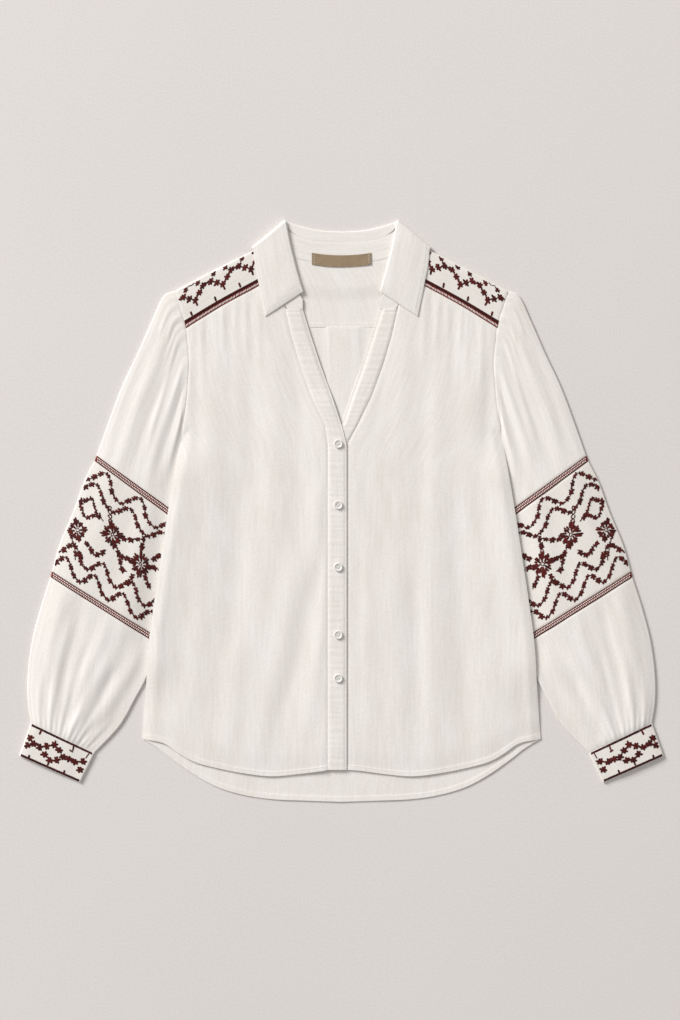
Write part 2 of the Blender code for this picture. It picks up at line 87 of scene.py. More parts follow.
class Finish:
    """A Principled material. node() adds a node from its type, its settings and the values or wires of its
    sockets."""

    def __init__(self, name, **constants):
        self.material = bpy.data.materials.new(name)
        self.material.use_nodes = True
        self.tree = self.material.node_tree
        self.shader = self.tree.nodes["Principled BSDF"]
        self.give(self.shader, {key.replace("_", " "): value for key, value in constants.items()})

    def give(self, node, values):
        for key, value in values.items():
            if isinstance(value, Wire):
                self.tree.links.new(value.socket, node.inputs[key])
            else:
                node.inputs[key].default_value = value

    def node(self, kind, settings=None, values=None, out=0):
        made = self.tree.nodes.new(kind)
        for key, value in (settings or {}).items():
            setattr(made, key, value)
        self.give(made, values or {})
        return Wire(self, made.outputs[out])

    def noise(self, place, scale, detail=2.0):
        values = {"Vector": place, "Scale": scale, "Detail": detail}
        return self.node("ShaderNodeTexNoise", {}, values)

    def stretched(self, place, scale):
        return self.node("ShaderNodeMapping", {}, {"Vector": place, "Scale": scale})

    def mixed(self, share, first, second):
        values = {0: share, 6: (*first, 1.0), 7: (*second, 1.0)}
        return self.node("ShaderNodeMix", {"data_type": "RGBA"}, values, out=2)

    def raised(self, height, distance, strength=1.0):
        values = {"Height": height, "Distance": distance, "Strength": strength}
        self.give(self.shader, {"Normal": self.node("ShaderNodeBump", {}, values)})


def table_finish():
    """Pale painted board: a slow change of tone and a fine grain."""
    made = Finish("table_paint", Roughness=0.85)
    place = made.node("ShaderNodeTexCoord", {}, {}, out=3)
    tone = made.noise(place, 1.6) * 0.3 + made.noise(place, 380.0) * 0.7
    light, dark = (tuple(c * share for c in TABLE_COLOUR) for share in (1.13, 0.87))
    made.give(made.shader, {"Base Color": made.mixed(tone, dark, light)})
    made.raised(made.noise(place, 700.0, 3.0), 0.0004, 0.35)
    return made.material


table_mesh = bpy.data.meshes.new("table_top")
corners = np.array([(-1, -1, 0), (1, -1, 0), (1, 1, 0), (-1, 1, 0)]) * TABLE_HALF_WIDTH
table_mesh.from_pydata(corners.tolist(), [], [(0, 1, 2, 3)])
table_mesh.materials.append(table_finish())
table_top = bpy.data.objects.new("table_top", table_mesh)
bpy.context.scene.collection.objects.link(table_top)

lamp = bpy.data.lights.new("window_light", "AREA")
lamp.size = LAMP_WIDTH
lamp.energy = LAMP_POWER
lamp.color = LAMP_COLOUR
lamp_stand = bpy.data.objects.new("window_light", lamp)
lamp_stand.location = LAMP_PLACE
aim = -np.array(LAMP_PLACE)
lamp_stand.rotation_euler = (np.arccos(-aim[2] / np.linalg.norm(aim)), 0, np.arctan2(-aim[0], aim[1]))
bpy.context.scene.collection.objects.link(lamp_stand)

room = bpy.data.worlds.new("room")
room.use_nodes = True
room.node_tree.nodes["Background"].inputs["Color"].default_value = ROOM_COLOUR
room.node_tree.nodes["Background"].inputs["Strength"].default_value = ROOM_STRENGTH
bpy.context.scene.world = room
bpy.context.scene.view_settings.view_transform = "Standard"

camera = bpy.data.cameras.new("camera")
camera.lens = CAMERA_LENS
camera.sensor_width = 36.0
camera_stand = bpy.data.objects.new("camera", camera)
camera_stand.location = CAMERA_PLACE
bpy.context.scene.collection.objects.link(camera_stand)
bpy.context.scene.camera = camera_stand

# Back
# The back of the body is one piece of slubbed cotton, cut with a curved tail, sewn to the yoke with one box
# pleat in the middle, and finished with a narrow turned hem. It lies on the table, over the edges of the
# sleeves.

CLOTH = 0.8
LAYER = 1.4
FLOOR = 0.55
EDGE_LEVEL = FLOOR + LAYER
GRID_STEP = 3.2
HEM_WIDTH = 5.6
HEM_RISE = 0.4
HEM_STITCH = HEM_WIDTH - 0.7
HEM_DROP = 1.0
HEM_DROP_WIDTH = 32.0
TOPSTITCH_SIZE = (0.5, 0.2)
# How far a hand-worked stitch strays: s and t in mm, degrees; its length and width keep to the chart
HAND_SPREAD = (0.28, 0.28, 5.0, 0.0, 0.0)
SLEEVE_LIFT = 3.8
YOKE_SEAM_Y = 239.0
BACK_HALF_TOP = 201.8
PLEAT_X = 3.0
PLEAT_HALF_WIDTH = 23.5
PLEAT_RISE = 0.8
PLEAT_LENGTH = 420.0
BACK_LENGTH = 610.0
ARMHOLE = [(216.0, 286.0), (204.3, 247.2), (200.2, 225.0), (198.0, 196.0), (199.4, 165.0), (203.2, 130.0),
           (207.0, 104.0)]
SIDE = [(207.0, 104.0), (222.0, 18.2), (232.3, -46.8), (248.6, -158.0), (253.5, -223.0), (258.5, -296.0)]
BACK_HEM = [(0.0, -378.0), (50.0, -376.3), (90.0, -374.5), (125.0, -369.5), (160.0, -359.3), (190.0, -343.5),
            (218.0, -324.0), (238.0, -308.5), (258.5, -296.0)]
# Creases: x and y of both ends, height (a trough is below zero) and half width
BACK_CREASES = [(-150, -250, -172, -352, 0.5, 15), (-96, -240, -104, -376, -0.35, 13),
                (-30, -200, -36, -378, 0.45, 17), (58, -230, 66, -376, 0.5, 15),
                (118, -240, 128, -370, -0.4, 12), (176, -240, 196, -345, 0.45, 13),
                (-55, 230, -48, 40, 0.35, 10), (52, 232, 47, 60, 0.3, 9), (0, 236, 2, 90, 0.25, 7)]
COTTON_LIGHT = (0.895, 0.872, 0.842)
COTTON_DEEP = (0.755, 0.71, 0.65)


def ease(t):
    """Smooth step from 0 to 1: 3 t squared less 2 t cubed, held at both ends."""
    t = np.clip(t, 0.0, 1.0)
    return t * t * (3 - 2 * t)


def evenly(count):
    """Even shares from 0 to 1."""
    return np.linspace(0, 1, count)


def bell(distance, width):
    """Bell curve: 1 at distance 0 and 1 / e at its width."""
    return np.exp(-((distance / width) ** 2))


def lifted(plan, level):
    """A plan's x and y with a level for each point."""
    return np.concatenate([plan, level[..., None]], axis=-1)


def lengths(line):
    """Length run at each point of a line."""
    return np.concatenate([[0.0], np.cumsum(np.linalg.norm(np.diff(line, axis=0), axis=1))])


def along(rows, shares):
    """Points at the given shares of length of a Catmull-Rom curve through the rows."""
    rows = np.asarray(rows, float)
    ends = np.vstack([2 * rows[0] - rows[1], rows, 2 * rows[-1] - rows[-2]])
    t = evenly(25)[:-1, None]
    pieces = []
    for a, b, c, d in zip(ends, ends[1:], ends[2:], ends[3:]):
        square = 2 * a - 5 * b + 4 * c - d
        cube = 3 * b - a - 3 * c + d
        pieces.append((2 * b + (c - a) * t + square * t**2 + cube * t**3) / 2)
    fine = np.vstack(pieces + [rows[-1:]])
    return resampled(fine, shares)


def resampled(line, shares):
    """Points of a line at the given shares of its length."""
    place = lengths(line)
    wanted = np.asarray(shares) * place[-1]
    return np.stack([np.interp(wanted, place, line[:, k]) for k in range(line.shape[1])], axis=1)


def spaced(length, step=GRID_STEP):
    """Shares of a length at an even step, closer at both ends where edges are turned or sewn."""
    near = np.array([0.0, 0.5, 1.1, 1.9, 3.0, 4.4, 5.2, 5.9, 6.8])
    inner = np.linspace(9.0, length - 9.0, max(int((length - 18.0) / step), 2))
    return np.concatenate([near, inner, length - near[::-1]]) / length


def patch(first_row, last_row, first_column, last_column):
    """Coons patch: the two ruled surfaces between opposite edges, less the one between the corners."""
    def mean_share(*lines):
        return np.mean([lengths(line) / lengths(line)[-1] for line in lines], axis=0)

    u = mean_share(first_row, last_row)[None, :, None]
    v = mean_share(first_column, last_column)[:, None, None]
    rows = (1 - v) * first_row[None] + v * last_row[None]
    columns = (1 - u) * first_column[:, None] + u * last_column[:, None]
    low = (1 - u) * first_row[0] + u * first_row[-1]
    high = (1 - u) * last_row[0] + u * last_row[-1]
    return rows + columns - ((1 - v) * low + v * high)


def reach(grid):
    """Lengths along the grid lines from the first row, the last row, the first column and the last column."""
    down = np.linalg.norm(np.diff(grid, axis=0), axis=-1).cumsum(axis=0)
    down = np.concatenate([np.zeros_like(down[:1]), down])
    across = np.linalg.norm(np.diff(grid, axis=1), axis=-1).cumsum(axis=1)
    across = np.concatenate([np.zeros_like(across[:, :1]), across], axis=1)
    return down, down[-1:] - down, across, across[:, -1:] - across


def seam_dip(distance, depth=0.5, width=1.5):
    """A sewn edge is drawn down: a bell-shaped dip next to the seam."""
    return -depth * bell(distance, width)


def hem_rise(distance, width=HEM_WIDTH, rise=HEM_RISE):
    """A turned hem: thicker up to its width, with a groove where the stitches pull it in."""
    step = rise * ease((width + 0.9 - distance) / 0.9)
    return step - 0.45 * rise * bell(distance - width + 0.7, 0.6)


def hem_drop(distance):
    """The last three centimetres sink softly towards what lies below."""
    return -HEM_DROP * ease((HEM_DROP_WIDTH - distance) / HEM_DROP_WIDTH)


def creases(x, y, rows):
    """Soft ridges and troughs along straight lines: a bell across each line, fading in and out along it."""
    height = np.zeros_like(x)
    for x0, y0, x1, y1, rise, half in rows:
        run = np.hypot(x1 - x0, y1 - y0)
        share = ((x - x0) * (x1 - x0) + (y - y0) * (y1 - y0)) / run**2
        off = ((x - x0) * (y1 - y0) - (y - y0) * (x1 - x0)) / run
        fade = ease((share + 0.12) / 0.3) * ease((1.12 - share) / 0.5)
        height += rise * bell(off, half) * fade
    return height


def rumple(x, y, seed, size):
    """Faint unevenness of washed cotton: eight sine waves in different directions, added up and scaled to 1."""
    numbers = np.random.default_rng(seed)
    total = np.zeros_like(x)
    for _ in range(8):
        turn, wave, start = numbers.uniform((0, 0.6 / size, 0), (np.pi, 1.7 / size, 6))
        total += np.sin(2 * np.pi * wave * (x * np.cos(turn) + 0.45 * y * np.sin(turn)) + start)
    return total / 4


def side_x(y):
    """Half width of the body at height y."""
    table = np.array(SIDE)[::-1]
    return np.interp(y, table[:, 1], table[:, 0])


def sleeve_lift(x, y):
    """How far the body's edge is lifted where it lies over the sleeve."""
    inside = side_x(y) - np.abs(x)
    return SLEEVE_LIFT * ease((52 - inside) / 46) * ease((102 - y) / 64) * ease((y + 262) / 70)


def back_level(x, y):
    """Middle of the back: on the table, and one layer up where it lies over the collar fall."""
    fall_edge = 306 + 0.0026 * x**2
    return FLOOR + LAYER * ease((y - fall_edge + 36) / 22) + sleeve_lift(x, y)


def directions(grid, ring):
    """Unit normals of a grid whose second index may run round a ring."""
    down = np.gradient(grid, axis=0)
    across = np.roll(grid, -1, axis=1) - np.roll(grid, 1, axis=1) if ring else np.gradient(grid, axis=1)
    normal = np.cross(down, across)
    return normal / np.maximum(np.linalg.norm(normal, axis=-1, keepdims=True), 1e-9)


def shown(name, points, faces, maps, finish, node=None, turn_out=True):
    """Puts a mesh with its cloth map into the scene, riding on the blouse's one body. It takes the place of
    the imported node, where one is named."""
    mesh = bpy.data.meshes.new(name)
    mesh.from_pydata(points.tolist(), [], faces)
    if maps is not None:
        maps = np.ascontiguousarray(maps, np.float32)
        mesh.uv_layers.new(name="cloth").data.foreach_set("uv", maps.ravel())
    if turn_out:
        work = bmesh.new()
        work.from_mesh(mesh)
        bmesh.ops.recalc_face_normals(work, faces=work.faces)
        work.to_mesh(mesh)
        work.free()
    mesh.shade_smooth()
    mesh.set_sharp_from_angle(angle=1.05)
    mesh.materials.append(finish)
    piece = bpy.data.objects.new(name, mesh)
    bpy.context.scene.collection.objects.link(piece)
    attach(piece, "root")
    if node:
        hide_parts(node)
    return piece


def shell(name, node, middle, finish, side=1, ring=False, wall=CLOTH, proud=0.0):
    """Closed shell of a sheet: its middle moved half the wall both ways along its normals, joined round
    its rim. proud moves the outer face out further. The cloth map runs in metres along the grid."""
    normal = directions(middle, ring)
    outer = middle + normal * (wall / 2 + np.asarray(proud))[..., None]
    inner = middle - normal * wall / 2
    rows, columns = middle.shape[:2]
    points = np.concatenate([outer.reshape(-1, 3), inner.reshape(-1, 3)]) * MM
    points[:, 0] *= side
    wrap = columns + int(ring)
    closed = np.concatenate([middle, middle[:, :1]], axis=1) if ring else middle
    down, _, across, _ = reach(closed)
    cloth_map = np.stack([across, down], axis=-1).reshape(-1, 2) * MM
    cell = np.arange(rows * wrap).reshape(rows, wrap)
    vertex = (np.arange(rows)[:, None] * columns + np.arange(wrap) % columns).ravel()
    quads = np.stack([cell[:-1, :-1], cell[1:, :-1], cell[1:, 1:], cell[:-1, 1:]], axis=-1).reshape(-1, 4)
    faces = [vertex[quads], vertex[quads[:, ::-1]] + rows * columns]
    maps = [quads, quads[:, ::-1]]
    rims = [cell[0], cell[-1][::-1]] + ([] if ring else [cell[:, 0][::-1], cell[:, -1]])
    for line in rims:
        pair = np.stack([line[:-1], line[1:], line[1:], line[:-1]], axis=-1)
        faces.append(vertex[pair] + np.array([0, 0, 1, 1]) * rows * columns)
        maps.append(pair)
    faces = np.concatenate(faces).tolist()
    return shown(name, points, faces, cloth_map[np.concatenate(maps)], finish, node)


def cotton_finish(name, light=COTTON_LIGHT, deep=COTTON_DEEP):
    """Slubbed plain weave: crossing threads, thick and thin places along both, and a soft uneven tone."""
    made = Finish(name, Roughness=0.92)
    made.shader.inputs["Sheen Weight"].default_value = 0.12
    made.shader.inputs["Sheen Roughness"].default_value = 0.5
    made.shader.inputs["Specular IOR Level"].default_value = 0.2
    place = made.node("ShaderNodeUVMap", {"uv_map": "cloth"})
    warp = made.noise(made.stretched(place, (1500.0, 90.0, 1.0)), 1.0, 1.0)
    weft = made.noise(made.stretched(place, (90.0, 1500.0, 1.0)), 1.0, 1.0)
    slub = made.noise(made.stretched(place, (260.0, 22.0, 1.0)), 1.0, 3.0)
    crepe = made.noise(place, 330.0, 3.0)
    cloud = made.noise(made.stretched(place, (16.0, 5.0, 1.0)), 1.0, 2.0)
    patchy = made.noise(made.stretched(place, (55.0, 12.0, 1.0)), 1.0, 3.0)
    tone = (slub - 0.5) * 0.9 + (crepe - 0.5) * 0.8 + (cloud - 0.5) * 0.8
    tone = tone + (patchy - 0.5) * 0.6 + (warp + weft - 1) * 0.4
    made.give(made.shader, {"Base Color": made.mixed((tone + 0.62).held(), deep, light)})
    made.raised(warp * 0.35 + weft * 0.35 + crepe * 0.5 + slub * 0.4, 0.0007, 0.36)
    return made.material


class Ground:
    """Upper face of a sheet: its middle moved up by lift along the normals, mirrored where side is -1. The
    shares tell where its rows and columns lie between 0 and 1."""

    def __init__(self, middle, lift, side=1, row_shares=None, column_shares=None):
        normal = directions(middle, False)
        normal = normal * np.where(normal[..., 2:] < 0, -1, 1)
        self.points = (middle + normal * (np.zeros(middle.shape[:2]) + lift)[..., None]) * (side, 1, 1)
        self.normals = normal * (side, 1, 1)
        self.row_shares = row_shares
        self.column_shares = column_shares

    def place(self, row_share, column_share):
        """Points and normals at shares of the rows and columns."""
        row = np.interp(row_share, self.row_shares, np.arange(len(self.row_shares)))
        column = np.interp(column_share, self.column_shares, np.arange(len(self.column_shares)))
        return self.at(row, column)

    def at(self, row, column):
        """Points and normals at fractional rows and columns: the mean of the four grid points round each
        place."""
        row, column = np.broadcast_arrays(np.asarray(row, float), np.asarray(column, float))
        rows, columns = self.points.shape[:2]
        i = np.clip(np.floor(row).astype(int), 0, rows - 2)
        j = np.clip(np.floor(column).astype(int), 0, columns - 2)
        a = np.clip(row - i, 0, 1)[..., None]
        b = np.clip(column - j, 0, 1)[..., None]
        found = []
        for grid in (self.points, self.normals):
            near = (1 - b) * grid[i, j] + b * grid[i, j + 1]
            far = (1 - b) * grid[i + 1, j] + b * grid[i + 1, j + 1]
            found.append((1 - a) * near + a * far)
        return found[0], found[1]


def at_distance(distance, value):
    """Fractional row in each column of a table of distances from the first or last row."""
    rows = np.arange(len(distance))
    order = slice(None, None, -1 if distance[0].mean() > distance[-1].mean() else 1)
    return np.array([np.interp(value, column[order], rows[order]) for column in distance.T])


def running(line, ups, stitch=2.3, gap=0.9):
    """Running stitches: a line over the cloth cut into short lines of four points with a gap after each."""
    place = lengths(line)
    count = max(int(place[-1] // (stitch + gap)), 1)
    wanted = (np.arange(count)[:, None] + 0.5) * place[-1] / count + np.linspace(-0.5, 0.5, 4) * stitch
    return tuple(np.stack([np.interp(wanted, place, part[:, k]) for k in range(3)], axis=-1)
                 for part in (line, ups))


def threads(name, slot, lines, ups, width, height, finish, sides=6, drawn_in=0.35, seed=1):
    """Raised threads as one mesh: an oval carried along each line and drawn in at both ends.
    The shade of each thread is a number from 0 to 1 in the attribute shade."""
    count, stations = lines.shape[:2]
    run = np.gradient(lines, axis=1)
    out = np.cross(run, ups)
    out = out / np.maximum(np.linalg.norm(out, axis=-1, keepdims=True), 1e-9)
    ends = np.minimum(np.arange(stations), np.arange(stations)[::-1])
    slim = np.where(ends == 0, drawn_in, 1.0)[None, :, None, None]
    angle = (2 * np.pi * (np.arange(sides) + 0.5) / sides)[None, None, :, None]
    width = (np.zeros(count) + width)[:, None, None, None]
    height = (np.zeros(count) + height)[:, None, None, None]
    points = lines[:, :, None] + out[:, :, None] * np.cos(angle) * slim * width / 2
    points = points + ups[:, :, None] * (np.sin(angle) * slim * height)
    index = np.arange(count * stations * sides).reshape(count, stations, sides)
    turned = np.roll(index, -1, axis=2)
    quads = np.stack([index[:, :-1], index[:, 1:], turned[:, 1:], turned[:, :-1]], axis=-1).reshape(-1, 4)
    faces = quads.tolist() + np.concatenate([index[:, 0], index[:, -1, ::-1]]).tolist()
    piece = shown(name, points.reshape(-1, 3) * MM, faces, None, finish, turn_out=False)
    shade = np.random.default_rng(seed).random(count).repeat(stations * sides)
    piece.data.attributes.new("shade", "FLOAT", "POINT").data.foreach_set("value", shade.astype(np.float32))
    return piece


def thread_finish(name, light, deep, roughness=0.6):
    """Twisted cotton thread: each stitch has its own shade, and fine twist lines break up its shine."""
    made = Finish(name, Roughness=roughness)
    made.shader.inputs["Specular IOR Level"].default_value = 0.2
    shade = made.node("ShaderNodeAttribute", {"attribute_name": "shade"}, {}, out=2)
    place = made.node("ShaderNodeTexCoord", {}, {}, out=3)
    fibre = made.noise(place, 1900.0, 2.0)
    tone = shade * 0.75 + (fibre - 0.5) * 1.1 + 0.12
    made.give(made.shader, {"Base Color": made.mixed(tone.held(), deep, light)})
    made.raised(fibre, 0.0005, 0.8)
    return made.material


def topstitches(name, ground, tracks, down=False):
    """Cream running stitches that keep their distance from an edge. A track is the grid of
    distances from the edge and the distance kept. The line runs down the rows where down is
    true, and else across the columns."""
    parts = []
    for distance, kept in tracks:
        found = at_distance(distance.T if down else distance, kept)
        count = np.arange(len(found))
        parts.append(running(*(ground.at(count, found) if down else ground.at(found, count))))
    lines, ups = (np.concatenate(part) for part in zip(*parts))
    return threads(name, "cotton", lines, ups, *TOPSTITCH_SIZE, cream_thread, sides=4)


def stitched(name, rows, ground, spread, finish, height=0.6, seed=1, uneven=1.0):
    """Stitches of a chart laid on a surface. Each row holds the centre s and t, the direction
    in degrees, the length and the width in millimetres; spread turns s and t into shares of
    the surface's rows and columns. Stitches are cut at the surface's edges, and each is moved
    and turned a little, as in hand work."""
    rows = np.array(rows, float)
    hand = np.random.default_rng(seed).normal(size=rows.shape) * HAND_SPREAD * uneven
    rows = rows + hand
    turn = np.radians(rows[:, 2])
    half = np.stack([np.cos(turn), np.sin(turn)], axis=1) * rows[:, 3:4] / 2
    ends = rows[:, None, :2] + half[:, None] * np.array([-1.0, 1.0])[None, :, None]
    shares = np.stack(spread(ends[..., 0], ends[..., 1]), axis=-1)
    middle = shares.mean(axis=1)
    kept = ((middle > 0.004) & (middle < 0.996)).all(axis=1)
    shares = np.clip(shares[kept], 0.006, 0.994)
    step = np.array([0.0, 0.15, 0.5, 0.85, 1.0])[None, :, None]
    stations = shares[:, :1] * (1 - step) + shares[:, 1:] * step
    lines, ups = ground.place(stations[..., 0], stations[..., 1])
    widths = rows[kept, 4]
    return threads(name, "red_thread", lines, ups, widths, height, finish, drawn_in=0.5, seed=seed)


def side_line(shares, armhole_rows):
    """Right edge of the body from the yoke or shoulder trim down to the hem corner."""
    line = np.vstack([along(armhole_rows, evenly(60)), along(SIDE, evenly(120))[1:]])
    return resampled(line, shares)


cotton = cotton_finish("slubbed_cotton")
across_shares = spaced(2 * BACK_HALF_TOP, 3.6)
down_shares = spaced(BACK_LENGTH, 4.2)
hem_half = along(BACK_HEM, evenly(200))
hem = resampled(np.vstack([hem_half[::-1] * (-1, 1), hem_half[1:]]), across_shares)
top = np.stack([(2 * across_shares - 1) * BACK_HALF_TOP, np.full(len(across_shares), YOKE_SEAM_Y)], axis=1)
right = side_line(down_shares, [(BACK_HALF_TOP, YOKE_SEAM_Y)] + ARMHOLE[2:])
plan = patch(top, hem, right * (-1, 1), right)
x, y = plan[..., 0], plan[..., 1]
from_top, from_hem, _, _ = reach(plan)
pleat = ease((PLEAT_HALF_WIDTH - np.abs(x - PLEAT_X)) / 2.2) * ease((y - YOKE_SEAM_Y + PLEAT_LENGTH) / 200)
level = back_level(x, y) + np.maximum(creases(x, y, BACK_CREASES), -0.1) + 0.18 + 0.12 * rumple(x, y, 3, 60)
level = np.maximum(level + seam_dip(from_top, 0.12), CLOTH / 2 + 0.05)
proud = PLEAT_RISE * pleat + hem_rise(from_hem)
back_middle = lifted(plan, level)
back = shell("back_cloth", "back", back_middle, cotton, proud=proud)

cream_thread = thread_finish("cream_thread", (0.93, 0.90, 0.86), (0.82, 0.77, 0.71))
ground = Ground(back_middle, CLOTH / 2 + proud)
back_stitches = topstitches("back_hem_stitches", ground, [(from_hem, HEM_STITCH)])

# Back yoke
# A plain yoke joins the back to the shoulders and carries the collar. Seen from above its inner side shows
# in the open neck. Its lower edge is topstitched over the gathered top of the back.

BACK_SHOULDER_SEAM = [(76.6, 338.4), (100.0, 318.0), (150.0, 283.0), (204.3, 249.0)]
BACK_NECK = [(0.0, 323.1), (38.0, 323.6), (66.0, 330.5), (76.6, 338.4)]
YOKE_WIDTH = 440.0
YOKE_TURN = 4.0
YOKE_TURN_RISE = 0.2
YOKE_STITCH = 3.3

even = evenly(60)
half = np.vstack([along(BACK_NECK, even), along(BACK_SHOULDER_SEAM, even)[1:]])
yoke_shares = spaced(YOKE_WIDTH, 3.6)
top = resampled(np.vstack([half[::-1] * (-1, 1), half[1:]]), yoke_shares)
bottom = np.stack([(2 * yoke_shares - 1) * BACK_HALF_TOP, np.full(len(yoke_shares), YOKE_SEAM_Y)], axis=1)
right = resampled(np.array([half[-1], (BACK_HALF_TOP, YOKE_SEAM_Y)]), evenly(40))
plan = patch(top, bottom, right * (-1, 1), right)
x, y = plan[..., 0], plan[..., 1]
from_top, from_bottom, _, _ = reach(plan)
level = back_level(x, y) + 0.22 + 0.1 * rumple(x, y, 4, 50) + seam_dip(from_top, 0.12)
yoke_middle = lifted(plan, level)
proud = hem_rise(from_bottom, YOKE_TURN, YOKE_TURN_RISE)
back_yoke = shell("back_yoke_cloth", "back_yoke", yoke_middle, cotton, proud=proud)
ground = Ground(yoke_middle, CLOTH / 2 + proud)
yoke_stitches = topstitches("back_yoke_stitches", ground, [(from_bottom, YOKE_STITCH)])

# Neck label
# A bare strip of washable kraft board is sewn over the middle of the back neck seam, bowed like the seam,
# and held by a few stitches at each end.

LABEL_SIZE = (77.0, 15.0)
LABEL_Y = 324.5
LABEL_WALL = 0.8
LABEL_LEVEL = EDGE_LEVEL + 1.35
LABEL_ROWS = 13
LABEL_BOW = 0.0022
KRAFT_DEEP = (0.20, 0.135, 0.075)
KRAFT_LIGHT = (0.40, 0.295, 0.19)

kraft = Finish("kraft_board", Roughness=0.8)
place = kraft.node("ShaderNodeUVMap", {"uv_map": "cloth"})
fibre = kraft.noise(kraft.stretched(place, (260.0, 900.0, 1.0)), 1.0, 4.0)
wear = kraft.noise(place, 95.0, 3.0)
kraft.give(kraft.shader, {"Base Color": kraft.mixed(fibre * 0.6 + wear * 0.5, KRAFT_DEEP, KRAFT_LIGHT)})
kraft.raised(fibre + wear, 0.0006, 0.5)
share = spaced(LABEL_SIZE[0], 2.0)
share = np.concatenate([share[:9:2], share[9:-9], share[-9::2]])
x = (share[None, :] - 0.5) * LABEL_SIZE[0] + np.zeros((LABEL_ROWS, 1))
y = LABEL_Y + (0.5 - evenly(LABEL_ROWS)[:, None]) * LABEL_SIZE[1] + LABEL_BOW * x**2
level = LABEL_LEVEL + 0.18 * np.sin(x / 9.0) * np.cos(y / 6.0)
label_middle = np.stack([x, y, level], axis=-1)
label = shell("neck_label_board", "neck_label", label_middle, kraft.material, wall=LABEL_WALL)
ground = Ground(label_middle, LABEL_WALL / 2)
rows = np.linspace(1, LABEL_ROWS - 2, 30)
ends = [running(*ground.at(rows, column), stitch=1.8, gap=0.8)
        for column in (2.0, label_middle.shape[1] - 3.0)]
lines, ups = (np.concatenate(part) for part in zip(*ends))
label_stitches = threads("neck_label_stitches", "kraft_label", lines, ups, 0.6, 0.25, cream_thread)

# Fronts
# Two fronts of the same cotton, eased into the shoulder tapes with small gathers, curved at the hem. They
# lie on the back, and the wearer's right front laps over the left one at the buttons.

SIDES = ((1, "left"), (-1, "right"))
FRONT_LEVEL = 3.6
FRONT_LENGTH = 600.0
FRONT_HEM_Y = -336.0
PLACKET_WIDTH = 24.0
PLACKET_OVERLAP_X = 6.5
BAND_TURN = 22.0
V_FOOT_Y = 86.0
BAND_SLANT = 0.0185
# How far the seam and the edge of each side's band have opened above the foot of the V
BAND_OPENINGS = {1: (13.5, 17.0), -1: (3.0, 6.2)}
FRONT_HEM = [(25.0, -337.5), (55.0, -341.5), (92.0, -344.5), (132.0, -339.8), (165.0, -333.2),
             (192.0, -325.5), (211.0, -315.0), (231.0, -301.8), (258.5, -296.0)]
TRIM_LENGTH = 140.0
TRIM_BOTTOM = [(80.6, 307.4), (108.0, 292.4), (156.0, 266.2), (202.2, 237.6)]
FRONT_NECK = [(80.6, 307.4), (77.2, 284.0)]
V_SEAM = [(72.6, 262.8), (64.6, 227.0), (53.6, 190.0), (39.0, 150.0)]
V_EDGE = [(50.5, 262.0), (39.7, 227.0), (27.5, 190.0), (12.9, 150.0)]
PLACKET_ROWS_Y = (112.0, 86.0, 40.0, -30.0, -110.0, -190.0, -265.0, FRONT_HEM_Y)
GATHERS = [(98, 293, 96, 244, 0.30, 3.0), (108, 288, 106, 176, 0.42, 4.6), (117, 283, 118, 240, -0.22, 2.6),
           (126, 278, 122, 196, 0.50, 4.0), (137, 272, 139, 226, 0.30, 2.8), (146, 268, 143, 150, -0.34, 5.0),
           (155, 263, 154, 205, 0.52, 3.6), (164, 258, 160, 168, 0.34, 4.4), (174, 252, 176, 214, -0.26, 2.8),
           (183, 247, 180, 150, 0.46, 4.0), (194, 242, 193, 212, 0.28, 2.8)]
LEFT_FOLDS = [(60, 205, 40, 90, -0.5, 8), (86, 230, 66, 40, 0.6, 13), (128, 200, 118, -60, 0.7, 15),
              (112, 170, 96, -40, -0.6, 11), (170, 190, 160, -60, 0.7, 14), (148, 20, 162, -330, -1.2, 15),
              (118, -40, 120, -338, 0.9, 19), (96, -70, 100, -300, -0.9, 11), (66, -60, 72, -340, 0.8, 14),
              (190, -40, 206, -312, 0.9, 17), (228, -90, 240, -290, -0.6, 10), (30, -20, 38, -335, 0.7, 14),
              (196, 200, 186, 60, -0.6, 8), (20, 60, 60, -60, -0.45, 9)]
RIGHT_FOLDS = [(66, 215, 46, 100, -0.5, 8), (90, 235, 78, 30, 0.6, 13), (120, 200, 112, -40, -0.6, 12),
               (166, 190, 170, -70, 0.9, 18), (134, 70, 134, -180, -0.6, 17), (122, 70, 158, -270, -0.95, 17),
               (178, 60, 196, -300, 0.9, 18), (214, -20, 238, -280, -0.7, 12), (20, -50, 92, -322, -0.95, 13),
               (52, -40, 112, -330, 0.9, 15), (24, -160, 56, -335, 0.8, 11), (132, -160, 150, -335, 0.7, 14),
               (96, 120, 84, -60, 0.6, 14), (190, 190, 186, 60, -0.6, 8), (26, 40, 34, -70, 0.6, 9)]


def front_level(x, y, side):
    """Middle of a front: down on the back at the side seam, up in the middle, and one more layer up at the
    placket of the wearer's right front."""
    inside = side_x(y) - np.abs(x)
    rise = np.maximum(ease(inside / 14), ease((y - 92) / 20))
    level = EDGE_LEVEL + (FRONT_LEVEL - EDGE_LEVEL) * rise + sleeve_lift(x, y)
    if side < 0:
        level = level + LAYER * ease((60 - np.abs(x)) / 40) * ease((165 - y) / 30)
    folds = creases(x, y, GATHERS) * ease((x - 34) / 26)
    folds += creases(x, y, LEFT_FOLDS if side > 0 else RIGHT_FOLDS) * ease((x - 20) / 12)
    return level + folds * ease(inside / 20)


